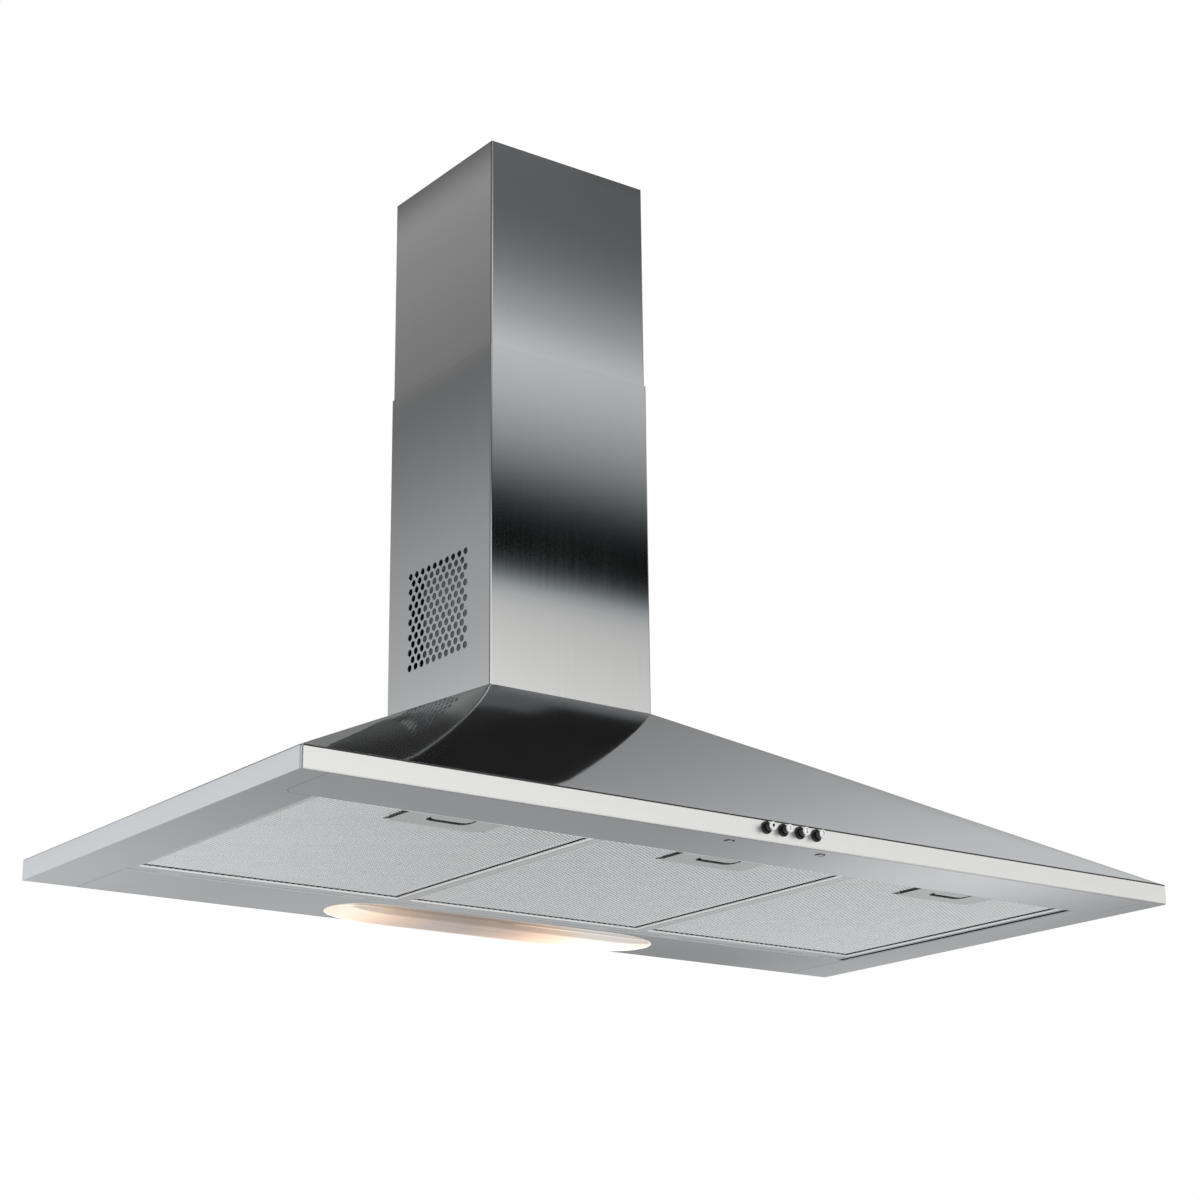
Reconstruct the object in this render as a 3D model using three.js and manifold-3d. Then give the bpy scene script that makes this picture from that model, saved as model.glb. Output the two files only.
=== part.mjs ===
// Wall-mounted chimney range hood, 900 mm wide, in millimetres.
// +X runs along the front to the right, +Y points into the wall and +Z up.
// Pieces are drawn with z = 0 at the canopy's underside and y = 0 at the wall;
// the whole hood is then lowered so that the origin lies between its hanging holes.

import * as THREE from 'three';
import { mergeGeometries, mergeVertices } from 'three/addons/utils/BufferGeometryUtils.js';
import Module from 'manifold-3d';

const wasm = await Module();
wasm.setup();

// ---- driving dimensions -------------------------------------------------

// canopy
const CANOPY_W = 900; // overall width
const CANOPY_D = 470; // wall to the face of the fascia
const CANOPY_H = 190; // underside to the seat of the chimney
const BAND_H = 18; // upright edge below the slopes
const SHEET = 1; // steel of the canopy, rail and lamp panel
const CLEAR = 0.3; // gap left where one piece seats on another
const SEAT_LEDGE = 0.5; // flat left around the foot of the chimney
const COLLAR_H = 14; // upstand inside the chimney's foot
const FLANGE_W = 50; // side strips of the underside

// hanging points on the wall
const HANG_Z = 120; // height above the underside
const HANG_SPAN = 220; // centre to centre
const HANG_HOLE_D = 9;
const HANGER_W = 40;
const HANGER_H = 50;
const HANGER_T = 2;

// front fascia and its buttons
const FASCIA_T = 1.2;
const FASCIA_INSET = 1; // the strip ends short of the side bands
const FASCIA_EDGE_R = 0.9; // rounded upright ends
const BUTTON_COUNT = 4;
const BUTTON_PITCH = 17.6;
const BUTTONS_X = 4; // centre of the row
const BUTTON_Z = 11;
const BUTTON_D = 6.2; // black stem
const BUTTON_CAP_D = 6.8;
const BUTTON_CAP_T = 1.4;
const BUTTON_PROUD = 9.5; // stands out of the fascia at rest
const BUTTON_GAP = 0.35; // stem to its guide, all round
const BEZEL_D = 10.6;
const BEZEL_T = 1.6;
const BEZEL_WALL = 0.7; // wall of the sleeve through the fascia
const BEZEL_TAIL = 1.2; // sleeve behind the canopy's front wall
const BUTTON_TRAVEL = 3.5;
const STEM_IN_SWITCH = 6; // stem inside the switch block at rest

// switch block behind the fascia
const SWITCH_W = 80;
const SWITCH_D = 24;
const SWITCH_H = 15;
const SWITCH_EAR_T = 5;
const SWITCH_EAR_D = 14;
const RAIL_SCREW_SPAN = 96;
const RAIL_SCREW_BACK = 16; // behind the fascia's face
const SCREW_D = 3;
const SCREW_HEAD_D = 5.6;
const SCREW_HEAD_T = 0.8;
const SCREW_LENGTH = 5; // below the head
const SCREW_GAP = 0.4; // shank to its hole, all round

// underside: front rail, filters, lamp panel
const RAIL_D = 70; // fascia face to the filter opening
const RAIL_OVERHANG = 26; // the rail laps this far over each side strip
const RAIL_CORNER_R = 12;
const LIP_H = 13; // upturned edges facing the filters
const PANEL_D = 87; // wall to the filter opening
const FILTER_COUNT = 3;
const FILTER_SIDE_GAP = 2; // outer filters to the side strips
const FILTER_GAP = 0.6; // filter to filter
const FILTER_END_GAP = 0.8; // filters to the lips in front and behind
const FILTER_RECESS = 1.5; // filters sit this far above the underside
const FILTER_T = 6;
const FRAME_SHEET = 1;
const FRAME_LIP_SIDE = 6;
const FRAME_LIP_FRONT = 5;
const FRAME_LIP_BACK = 12;
const MESH_GAPS_X = 4; // openings in a full row of the drawn mesh, and full rows
const MESH_GAPS_Y = 6;
const MESH_STRAND = 6; // width of a drawn strand along x and y
const TAB_SPAN = 180; // the two rear tabs of a filter
const TAB_W = 20;
const TAB_REACH = 3;
const TAB_SLOT_GAP = 0.6; // tab to its slot, and above it for the swing

// filter latch
const HANDLE_W = 89;
const HANDLE_D = 43;
const HANDLE_T = 7;
const HANDLE_WALL = 1.2;
const HANDLE_CORNER_R = 9;
const FINGER_W = 39;
const FINGER_D = 22;
const FINGER_R = 7.3; // rounded corners of the opening
const FINGER_FRONT = 6; // front wall of the handle to the finger opening
const TONGUE_GAP = 1; // tongue to the sides of the finger opening
const TONGUE_FRONT_GAP = 5; // room for a fingertip
const TONGUE_FRONT_R = 2.5;
const LATCH_TRAVEL = 5;
const LATCH_T = 2.4;
const LATCH_W = 44;
const BOLT_W = 18;
const BOLT_REACH = 3.5; // past the front of the filter
const LATCH_GAP = 0.4; // latch to its guides, all round

// lamp under the rear edge
const LAMP_X = 5; // centre of the lamp cover
const COVER_W = 358;
const COVER_D = 54;
const COVER_BACK = 12; // wall to the rear edge of the cover
const COVER_DROP = 6; // below the underside
const COVER_WALL = 1.4;
const COVER_LAP = 4; // rim beyond the window
const SNAP_W = 20;
const SNAP_H = 3;
const REFLECTOR_H = 42;
const REFLECTOR_MARGIN = 4; // around the window
const REFLECTOR_SHEET = 0.8;
const HOLDER_IN = 101; // end of the lamp cover to the mouth of a lamp holder
const BULB_D = 33;
const BULB_LENGTH = 72; // glass only
const BULB_BASE_D = 14; // E14 screw base
const BULB_BASE_LENGTH = 22;
const BULB_LIFT = 5; // glass above the lamp panel
const HOLDER_D = 24;
const HOLDER_LENGTH = 28;
const HOLDER_BORE_GAP = 0.4;

// telescopic chimney
const CHIMNEY_W = 183;
const CHIMNEY_D = 175;
const CHIMNEY_SHEET = 0.8;
const CHIMNEY_RETURN = 15; // edges folded in along the wall
const LOWER_H = 332;
const UPPER_H = 335;
const UPPER_SHOWN = 213; // above the lower cover at rest
const BRACKET_H = 26; // wall bracket inside the upper cover
const BRACKET_T = 2;
const BRACKET_EAR = 34;
const BRACKET_DROP = 20; // below the top of the upper cover
const BRACKET_HOLE_D = 6;
const BRACKET_HOLE_SPAN = 90;

// grille in both sides of the lower cover
const GRILLE_ROWS = 13;
const GRILLE_COLUMNS = 10; // in the full rows; the rows between hold one less
const GRILLE_HOLE_D = 7;
const GRILLE_PITCH_Y = 10.5;
const GRILLE_PITCH_Z = 7.56;
const GRILLE_BACK = 39.5; // wall to the first hole
const GRILLE_UP = 47; // seat of the chimney to the lowest row
const GRILLE_SIDES = 6;

// blower
const CASING_W = 150;
const CASING_WALL = 2;
const CASING_BACK = 38; // wall to the rear of the throat
const CASING_D = 124; // throat, front to back
const CASING_RISE = 130; // top of the casing above the canopy's collar
const SCROLL_Y = 88; // wall to the fan's axis
const FAN_DROP = 72; // fan's axis below the top of the canopy's collar
const SCROLL_START_R = 56;
const INLET_D = 88;
const FAN_D = 104;
const FAN_W = 122;
const FAN_EYE_D = 84;
const FAN_BLADES = 15;
const FAN_BLADE_T = 1.4;
const FAN_DISC_T = 2;
const FAN_HUB_D = 20;
const FAN_HUB_L = 18;
const SHAFT_D = 8;
const SHAFT_GAP = 0.1; // shaft to its bearings, all round
const MOTOR_D = 66;
const MOTOR_L = 60;
const BEARING_D = 22;
const BEARING_T = 7;
const SPIDER_T = 3;
const SPIDER_RING_W = 8;
const SPIDER_HUB_D = 40;
const SPIDER_ARM_W = 9;
const SPIDER_ARMS = 3;
const STANDOFF_L = 60;
const STANDOFF_H = 10;
const STANDOFF_WALL = 1.5;

// duct collar with its two flaps
const OUTLET_D = 120;
const OUTLET_WALL = 1.5;
const OUTLET_H = 45;
const OUTLET_BASE_T = 2;
const FLAP_UP = 16; // flaps above the collar's base
const FLAP_T = 1;
const FLAP_EDGE_GAP = 1;
const FLAP_HINGE_GAP = 3.2; // pin's centre to the plate of a flap
const FLAP_PIN_D = 3;
const KNUCKLE_D = 5.2;
const KNUCKLE_BORE_D = 3.6;
const KNUCKLE_L = 22;
const KNUCKLE_OUT = 14; // pin's middle to the knuckle
const STOP_W = 3;
const STOP_T = 1.5;

// electrics on the rear wall
const TERMINAL_X = 165;
const TERMINAL_W = 60;
const TERMINAL_D = 44;
const TERMINAL_H = 40;
const TERMINAL_Z = 60;
const TERMINAL_WALL = 2;
const GLAND_D = 16;
const GLAND_BORE_D = 8;
const GLAND_H = 14;
const GLAND_NECK_D = 12;
const CAPACITOR_X = -165;
const CAPACITOR_D = 30;
const CAPACITOR_H = 58;
const CAPACITOR_Z = 52;
const CAPACITOR_FOOT_T = 2;

// ---- materials ----------------------------------------------------------

const finish = (color, roughness, metalness, extra = {}) =>
  new THREE.MeshStandardMaterial({ color, roughness, metalness, flatShading: true, ...extra });

const brushedSteel = finish(0xb9bbbc, 0.32, 1);
const fasciaSteel = finish(0xd2d1cd, 0.38, 1);
const galvanised = finish(0x8d9296, 0.5, 0.9);
const aluminium = finish(0xc9cccf, 0.4, 1);
const meshAluminium = finish(0xb4b8bb, 0.5, 1);
const chrome = finish(0xe4e6e8, 0.12, 1);
const blackPlastic = finish(0x15161a, 0.35, 0);
const greyPlastic = finish(0x5d6165, 0.6, 0);
const whitePlastic = finish(0xe8e6e0, 0.5, 0);
const coverPlastic = finish(0xf4e3cf, 0.3, 0, { transparent: true, opacity: 0.6 });
const bulbGlass = finish(0xfff1d6, 0.2, 0, { transparent: true, opacity: 0.6 });

// ---- solids -------------------------------------------------------------

const hood = new THREE.Group(); // everything, with z = 0 at the underside

function solid(geometry) {
  const bare = geometry.index ? geometry.clone() : geometry;
  bare.deleteAttribute('normal');
  bare.deleteAttribute('uv');
  const merged = mergeVertices(bare, 1e-4);
  return new wasm.Manifold(new wasm.Mesh({
    numProp: 3,
    vertProperties: new Float32Array(merged.attributes.position.array),
    triVerts: new Uint32Array(merged.index.array),
  }));
}

function add(parent, name, body, material) {
  const { vertProperties, triVerts } = body.getMesh();
  const geometry = new THREE.BufferGeometry();
  geometry.setAttribute('position', new THREE.BufferAttribute(vertProperties, 3));
  geometry.setIndex(new THREE.BufferAttribute(triVerts, 1));
  geometry.computeVertexNormals();
  const mesh = new THREE.Mesh(geometry, material);
  mesh.name = name;
  parent.add(mesh);
  return mesh;
}

function block([x0, x1], [y0, y1], [z0, z1]) {
  const geometry = new THREE.BoxGeometry(x1 - x0, y1 - y0, z1 - z0);
  return solid(geometry.translate((x0 + x1) / 2, (y0 + y1) / 2, (z0 + z1) / 2));
}

// A cylinder of diameter d along one axis, from a to b, its other two coordinates in centre.
function rod(axis, d, [a, b], centre, sides = 16) {
  const geometry = new THREE.CylinderGeometry(d / 2, d / 2, b - a, sides);
  const middle = (a + b) / 2;
  if (axis === 'x') geometry.rotateZ(-Math.PI / 2).translate(middle, centre[0], centre[1]);
  if (axis === 'y') geometry.translate(centre[0], middle, centre[1]);
  if (axis === 'z') geometry.rotateX(Math.PI / 2).translate(centre[0], centre[1], middle);
  return solid(geometry);
}

// An outline in x and y, raised from z0 to z1.
function slab(shape, [z0, z1], curveSegments = 4) {
  const options = { depth: z1 - z0, bevelEnabled: false, curveSegments };
  return solid(new THREE.ExtrudeGeometry(shape, options).translate(0, 0, z0));
}

// A rectangle whose corners are rounded by the radii [front left, front right, back right, back left].
function roundedRectangle([x0, x1], [y0, y1], [fl, fr, br, bl]) {
  const shape = new THREE.Shape();
  shape.moveTo(x0 + fl, y0);
  shape.lineTo(x1 - fr, y0);
  if (fr) shape.absarc(x1 - fr, y0 + fr, fr, -Math.PI / 2, 0, false);
  shape.lineTo(x1, y1 - br);
  if (br) shape.absarc(x1 - br, y1 - br, br, 0, Math.PI / 2, false);
  shape.lineTo(x0 + bl, y1);
  if (bl) shape.absarc(x0 + bl, y1 - bl, bl, Math.PI / 2, Math.PI, false);
  shape.lineTo(x0, y0 + fl);
  if (fl) shape.absarc(x0 + fl, y0 + fl, fl, Math.PI, 1.5 * Math.PI, false);
  return shape;
}

const PAST = 1; // a cut runs this far past the face that it opens

// ---- canopy -------------------------------------------------------------

const bodyFront = -(CANOPY_D - FASCIA_T - CLEAR); // outside of the canopy's own front wall
const wallFront = bodyFront + SHEET; // its inside
const halfCanopy = CANOPY_W / 2;
const openingHalf = halfCanopy - FLANGE_W;
const railBack = -(CANOPY_D - RAIL_D);
const railFront = wallFront + CLEAR;
const railHalf = openingHalf + RAIL_OVERHANG;
const panelBack = -(SHEET + CLEAR);
const collarHalf = CHIMNEY_W / 2 - CHIMNEY_SHEET - CLEAR;
const collarFront = -(CHIMNEY_D - CHIMNEY_SHEET - CLEAR);
const collarBack = -(CHIMNEY_SHEET + CLEAR);
const collarTop = CANOPY_H + COLLAR_H;
const sleeveD = BUTTON_D + 2 * (BUTTON_GAP + BEZEL_WALL);
const buttonXs = Array.from(
  { length: BUTTON_COUNT },
  (_, i) => BUTTONS_X + (i - (BUTTON_COUNT - 1) / 2) * BUTTON_PITCH,
);

// An upright band under three slopes and a plumb back, given as three rings of corners.
function canopyVolume({ base, band, seat }) {
  const ring = ({ half, front, back, z }) => [
    [-half, front, z], [half, front, z], [half, back, z], [-half, back, z],
  ];
  const points = [base, band, seat].flatMap(ring);
  const triangles = [0, 2, 1, 0, 3, 2, 8, 9, 10, 8, 10, 11];
  for (const low of [0, 4]) {
    for (let i = 0; i < 4; i++) {
      const j = (i + 1) % 4;
      triangles.push(low + i, low + j, low + 4 + j, low + i, low + 4 + j, low + 4 + i);
    }
  }
  const geometry = new THREE.BufferGeometry();
  geometry.setAttribute('position', new THREE.Float32BufferAttribute(points.flat(), 3));
  geometry.setIndex(triangles);
  return solid(geometry);
}

function canopyShell() {
  const seatHalf = CHIMNEY_W / 2 + SEAT_LEDGE;
  const seatFront = -(CHIMNEY_D + SEAT_LEDGE);
  const sideRise = (CANOPY_H - BAND_H) / (halfCanopy - seatHalf);
  const frontRise = (CANOPY_H - BAND_H) / (seatFront - bodyFront);
  const drop = (rise) => SHEET * Math.hypot(1, rise); // plumb thickness of a slope
  const innerBand = BAND_H + SHEET * sideRise - drop(frontRise);
  const innerTop = CANOPY_H - SHEET;
  const run = (rise) => (innerTop - innerBand) / rise;
  const outer = canopyVolume({
    base: { half: halfCanopy, front: bodyFront, back: 0, z: 0 },
    band: { half: halfCanopy, front: bodyFront, back: 0, z: BAND_H },
    seat: { half: seatHalf, front: seatFront, back: 0, z: CANOPY_H },
  });
  const innerHalf = halfCanopy - SHEET;
  const inner = canopyVolume({
    base: { half: innerHalf, front: wallFront, back: -SHEET, z: SHEET },
    band: { half: innerHalf, front: wallFront, back: -SHEET, z: innerBand },
    seat: {
      half: innerHalf - run(sideRise), front: wallFront + run(frontRise), back: -SHEET, z: innerTop,
    },
  });
  const collar = block([-collarHalf, collarHalf], [collarFront, collarBack], [innerTop, collarTop]);
  const throat = block(
    [-(collarHalf - SHEET), collarHalf - SHEET],
    [collarFront + SHEET, collarBack - SHEET],
    [innerTop - PAST, collarTop + PAST],
  );
  const floor = [-PAST, SHEET + PAST];
  const opening = block([-openingHalf, openingHalf], [wallFront, -SHEET], floor);
  const railSeat = slab(railOutline(CLEAR, wallFront), floor);
  let shell = outer.subtract(inner).add(collar).subtract(throat).subtract(opening).subtract(railSeat);
  for (const x of buttonXs) {
    const through = [bodyFront - PAST, wallFront + PAST];
    shell = shell.subtract(rod('y', sleeveD + 2 * CLEAR, through, [x, BUTTON_Z], 12));
  }
  for (const x of [-HANG_SPAN / 2, HANG_SPAN / 2]) {
    shell = shell.subtract(rod('y', HANG_HOLE_D, [-SHEET - PAST, PAST], [x, HANG_Z], 12));
  }
  add(hood, 'canopy_shell', shell, brushedSteel);
}

function hangers() {
  const back = -(SHEET + CLEAR);
  for (const [name, x] of [['hanger_left', -HANG_SPAN / 2], ['hanger_right', HANG_SPAN / 2]]) {
    const plate = block(
      [x - HANGER_W / 2, x + HANGER_W / 2],
      [back - HANGER_T, back],
      [HANG_Z - HANGER_H / 2, HANG_Z + HANGER_H / 2],
    );
    const hole = rod('y', HANG_HOLE_D, [back - HANGER_T - PAST, back + PAST], [x, HANG_Z], 12);
    add(hood, name, plate.subtract(hole), galvanised);
  }
}

function frontFascia() {
  const half = halfCanopy - FASCIA_INSET;
  const outline = roundedRectangle(
    [-half, half],
    [-CANOPY_D, -CANOPY_D + FASCIA_T],
    [FASCIA_EDGE_R, FASCIA_EDGE_R, 0, 0],
  );
  let strip = slab(outline, [0, BAND_H], 4);
  for (const x of buttonXs) {
    const through = [-CANOPY_D - PAST, -CANOPY_D + FASCIA_T + PAST];
    strip = strip.subtract(rod('y', sleeveD + 2 * CLEAR, through, [x, BUTTON_Z], 12));
  }
  add(hood, 'front_fascia', strip, fasciaSteel);
}

// ---- underside ----------------------------------------------------------

const filterFront = railBack + FILTER_END_GAP;
const filterBack = -(PANEL_D + FILTER_END_GAP);
const filterPitch = (2 * (openingHalf - FILTER_SIDE_GAP) + FILTER_GAP) / FILTER_COUNT;
const filterHalf = (filterPitch - FILTER_GAP) / 2;
const filterXs = Array.from(
  { length: FILTER_COUNT },
  (_, i) => (i - (FILTER_COUNT - 1) / 2) * filterPitch,
);
const frameFront = filterFront + FRAME_SHEET; // inside of the frame's front wall
const meshZ = FILTER_RECESS + FRAME_SHEET + CLEAR;
const latchZ = meshZ + HANDLE_T - HANDLE_WALL - LATCH_GAP - LATCH_T;
const frameTop = FILTER_RECESS + FILTER_T;
const handleFront = frameFront + CLEAR;

function railOutline(margin, front) {
  const half = railHalf + margin;
  const r = RAIL_CORNER_R + margin;
  return roundedRectangle([-half, half], [front, railBack + margin], [0, 0, r, r]);
}

function frontRail() {
  const plate = slab(railOutline(0, railFront), [0, SHEET]);
  const lip = block([-openingHalf + CLEAR, openingHalf - CLEAR], [railBack - SHEET, railBack], [0, LIP_H]);
  let rail = plate.add(lip);
  for (const x of filterXs) {
    const half = BOLT_W / 2 + 2 * LATCH_GAP;
    const height = [latchZ - 2 * LATCH_GAP, latchZ + LATCH_T + 2 * LATCH_GAP];
    rail = rail.subtract(block([x - half, x + half], [railBack - SHEET - PAST, railBack + PAST], height));
  }
  for (const x of [-RAIL_SCREW_SPAN / 2, RAIL_SCREW_SPAN / 2]) {
    const y = -CANOPY_D + RAIL_SCREW_BACK;
    rail = rail.subtract(rod('z', SCREW_D + 2 * SCREW_GAP, [-PAST, SHEET + PAST], [x, y], 10));
  }
  add(hood, 'front_rail', rail, brushedSteel);
}

const coverBack = -COVER_BACK;
const coverFront = coverBack - COVER_D;

// The lamp cover's outline with round ends, drawn in by inset.
function coverOutline(inset) {
  const half = COVER_W / 2 - inset;
  const r = COVER_D / 2 - inset;
  return roundedRectangle(
    [LAMP_X - half, LAMP_X + half],
    [coverFront + inset, coverBack - inset],
    [r, r, r, r],
  );
}

function lampPanel() {
  const half = openingHalf - CLEAR;
  const plate = block([-half, half], [-PANEL_D, panelBack], [0, SHEET]);
  const lip = block([-half, half], [-PANEL_D, -PANEL_D + SHEET], [0, LIP_H]);
  let panel = plate.add(lip).subtract(slab(coverOutline(COVER_LAP), [-PAST, SHEET + PAST]));
  for (const x of filterXs) {
    for (const side of [-1, 1]) {
      const middle = x + side * TAB_SPAN / 2;
      const halfSlot = TAB_W / 2 + TAB_SLOT_GAP;
      const tabTop = FILTER_RECESS + Math.hypot(TAB_REACH, FRAME_SHEET); // as it swings
      panel = panel.subtract(block(
        [middle - halfSlot, middle + halfSlot],
        [-PANEL_D - PAST, -PANEL_D + SHEET + PAST],
        [FILTER_RECESS - TAB_SLOT_GAP / 2, tabTop + TAB_SLOT_GAP],
      ));
    }
  }
  add(hood, 'lamp_panel', panel, brushedSteel);
}

// ---- grease filters -----------------------------------------------------

// A folded channel all round, open inwards, with two tabs behind.
function filterFrame(group, name) {
  const sides = (inset) => [-filterHalf + inset, filterHalf - inset];
  let frame = block(sides(0), [filterFront, filterBack], [FILTER_RECESS, frameTop]);
  frame = frame.subtract(block(
    sides(FRAME_SHEET),
    [frameFront, filterBack - FRAME_SHEET],
    [FILTER_RECESS + FRAME_SHEET, frameTop - FRAME_SHEET],
  ));
  frame = frame.subtract(block(
    sides(FRAME_LIP_SIDE),
    [filterFront + FRAME_LIP_FRONT, filterBack - FRAME_LIP_BACK],
    [FILTER_RECESS - PAST, frameTop + PAST],
  ));
  const handleHalf = HANDLE_W / 2 + CLEAR;
  frame = frame.subtract(block(
    [-handleHalf, handleHalf],
    [frameFront, frameFront + FRAME_LIP_FRONT],
    [frameTop - FRAME_SHEET - PAST, frameTop + PAST],
  ));
  const boltHalf = BOLT_W / 2 + LATCH_GAP;
  frame = frame.subtract(block(
    [-boltHalf, boltHalf],
    [filterFront - PAST, frameFront + PAST],
    [latchZ - LATCH_GAP, frameTop + PAST],
  ));
  for (const side of [-1, 1]) {
    const middle = side * TAB_SPAN / 2;
    frame = frame.add(block(
      [middle - TAB_W / 2, middle + TAB_W / 2],
      [filterBack - FRAME_SHEET, filterBack + TAB_REACH],
      [FILTER_RECESS, FILTER_RECESS + FRAME_SHEET],
    ));
  }
  add(group, name, frame, aluminium);
}

function handleOutline(margin) {
  const half = HANDLE_W / 2 + margin;
  const depth = [handleFront - margin, handleFront + HANDLE_D + margin];
  const r = HANDLE_CORNER_R + margin;
  return roundedRectangle([-half, half], depth, [0, 0, r, r]);
}

// The expanded aluminium, drawn as one open net of crossing strands inside a solid edge.
function filterMesh(group, name) {
  const half = filterHalf - FRAME_SHEET - CLEAR;
  const back = filterBack - FRAME_SHEET - CLEAR;
  const thickness = [meshZ, frameTop - FRAME_SHEET - CLEAR];
  const sheet = block([-half, half], [handleFront, back], thickness);
  const windowHalf = filterHalf - FRAME_LIP_SIDE;
  const y0 = filterFront + FRAME_LIP_FRONT;
  const y1 = filterBack - FRAME_LIP_BACK;
  const pitchX = 2 * windowHalf / MESH_GAPS_X;
  const pitchY = (y1 - y0) / MESH_GAPS_Y;
  const keepOut = handleFront + HANDLE_D + MESH_STRAND;
  const reachX = pitchX / 2 - MESH_STRAND;
  const reachY = pitchY / 2 - MESH_STRAND;
  const gaps = [];
  for (let row = 0; row < 2 * MESH_GAPS_Y - 1; row++) {
    const offset = row % 2; // the rows between are half a pitch along and one opening short
    for (let i = 0; i < MESH_GAPS_X - offset; i++) {
      const x = -windowHalf + (i + (1 + offset) / 2) * pitchX;
      const y = y0 + (row + 1) / 2 * pitchY;
      if (y - reachY < keepOut && Math.abs(x) - reachX < HANDLE_W / 2 + MESH_STRAND) continue;
      const diamond = new THREE.Shape([
        new THREE.Vector2(x - reachX, y), new THREE.Vector2(x, y - reachY),
        new THREE.Vector2(x + reachX, y), new THREE.Vector2(x, y + reachY),
      ]);
      const depth = thickness[1] - thickness[0] + 2 * PAST;
      gaps.push(new THREE.ExtrudeGeometry(diamond, { depth, bevelEnabled: false })
        .translate(0, 0, thickness[0] - PAST));
    }
  }
  const handleSeat = slab(handleOutline(CLEAR), [meshZ - PAST, meshZ + HANDLE_T + PAST]);
  add(group, name, sheet.subtract(solid(mergeGeometries(gaps))).subtract(handleSeat), meshAluminium);
}

const fingerFront = handleFront + FINGER_FRONT;
const fingerBack = fingerFront + FINGER_D;

// The pressed plate with the finger opening, and the guide of the latch above it.
function filterHandle(group, name) {
  const outer = slab(handleOutline(0), [meshZ, meshZ + HANDLE_T]);
  const guideHalf = LATCH_W / 2 + LATCH_GAP;
  const guide = block(
    [-guideHalf, guideHalf],
    [handleFront + HANDLE_WALL, fingerBack + LATCH_TRAVEL + 2 * LATCH_GAP],
    [meshZ + HANDLE_WALL, meshZ + HANDLE_T - HANDLE_WALL],
  );
  const boltHalf = BOLT_W / 2 + LATCH_GAP;
  const boltSlot = block(
    [-boltHalf, boltHalf],
    [handleFront - PAST, handleFront + HANDLE_WALL + PAST],
    [latchZ - LATCH_GAP, latchZ + LATCH_T + LATCH_GAP],
  );
  const corners = [FINGER_R, FINGER_R, FINGER_R, FINGER_R];
  const opening = slab(
    roundedRectangle([-FINGER_W / 2, FINGER_W / 2], [fingerFront, fingerBack], corners),
    [meshZ - PAST, meshZ + HANDLE_WALL + PAST],
  );
  add(group, name, outer.subtract(guide).subtract(boltSlot).subtract(opening), aluminium);
}

// A sliding bolt with the tongue that a finger pulls back.
function filterLatch(group, name) {
  const tongueFront = fingerFront + TONGUE_FRONT_GAP;
  const tongueBack = fingerBack - LATCH_TRAVEL - LATCH_GAP;
  const plate = block(
    [-LATCH_W / 2, LATCH_W / 2],
    [fingerFront, fingerBack],
    [latchZ, latchZ + LATCH_T],
  );
  const bolt = block(
    [-BOLT_W / 2, BOLT_W / 2],
    [filterFront - BOLT_REACH, fingerFront + PAST],
    [latchZ, latchZ + LATCH_T],
  );
  const half = FINGER_W / 2 - TONGUE_GAP;
  const corners = [TONGUE_FRONT_R, TONGUE_FRONT_R, FINGER_R, FINGER_R];
  const tongue = slab(
    roundedRectangle([-half, half], [tongueFront, tongueBack], corners),
    [meshZ + LATCH_GAP, latchZ + LATCH_T / 2],
  );
  add(group, name, plate.add(bolt).add(tongue), aluminium);
}

function filters() {
  const names = ['left', 'centre', 'right'];
  filterXs.forEach((x, i) => {
    const group = new THREE.Group();
    group.position.x = x;
    hood.add(group);
    const side = names[i] ?? `extra_${i}`;
    filterFrame(group, `filter_frame_${side}`);
    filterMesh(group, `filter_mesh_${side}`);
    filterHandle(group, `filter_handle_${side}`);
    filterLatch(group, `filter_latch_${side}`);
  });
}

// ---- buttons and switch -------------------------------------------------

// A ring in front of the fascia with a sleeve through it.
function bezel(x, name) {
  const bore = BUTTON_D / 2 + BUTTON_GAP;
  const front = -CANOPY_D - CLEAR;
  const profile = [
    [bore, front - BEZEL_T], [BEZEL_D / 2 - BEZEL_T / 3, front - BEZEL_T],
    [BEZEL_D / 2, front - BEZEL_T * 2 / 3], [BEZEL_D / 2, front],
    [sleeveD / 2, front], [sleeveD / 2, wallFront + BEZEL_TAIL],
    [bore, wallFront + BEZEL_TAIL], [bore, front - BEZEL_T],
  ].map(([r, y]) => new THREE.Vector2(r, y));
  const ring = solid(new THREE.LatheGeometry(profile, 12).translate(x, 0, BUTTON_Z));
  add(hood, name, ring, blackPlastic);
}

const switchFront = wallFront + BEZEL_TAIL + CLEAR;

function buttons() {
  const names = ['light', 'speed_1', 'speed_2', 'speed_3'];
  const tip = -CANOPY_D - BUTTON_PROUD;
  buttonXs.forEach((x, i) => {
    const name = names[i] ?? `extra_${i}`;
    const group = new THREE.Group();
    group.position.set(x, 0, BUTTON_Z);
    hood.add(group);
    const stem = rod('y', BUTTON_D, [tip + BUTTON_CAP_T + CLEAR, switchFront + STEM_IN_SWITCH], [0, 0], 12);
    add(group, `button_${name}`, stem, blackPlastic);
    const edge = BUTTON_CAP_T / 4; // rounded rim of the cap
    const profile = [
      [0, tip], [BUTTON_CAP_D / 2 - edge, tip], [BUTTON_CAP_D / 2, tip + edge],
      [BUTTON_CAP_D / 2, tip + BUTTON_CAP_T], [0, tip + BUTTON_CAP_T],
    ].map(([r, y]) => new THREE.Vector2(r, y));
    add(group, `button_cap_${name}`, solid(new THREE.LatheGeometry(profile, 12)), chrome);
    bezel(x, `button_bezel_${name}`);
  });
}

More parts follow.
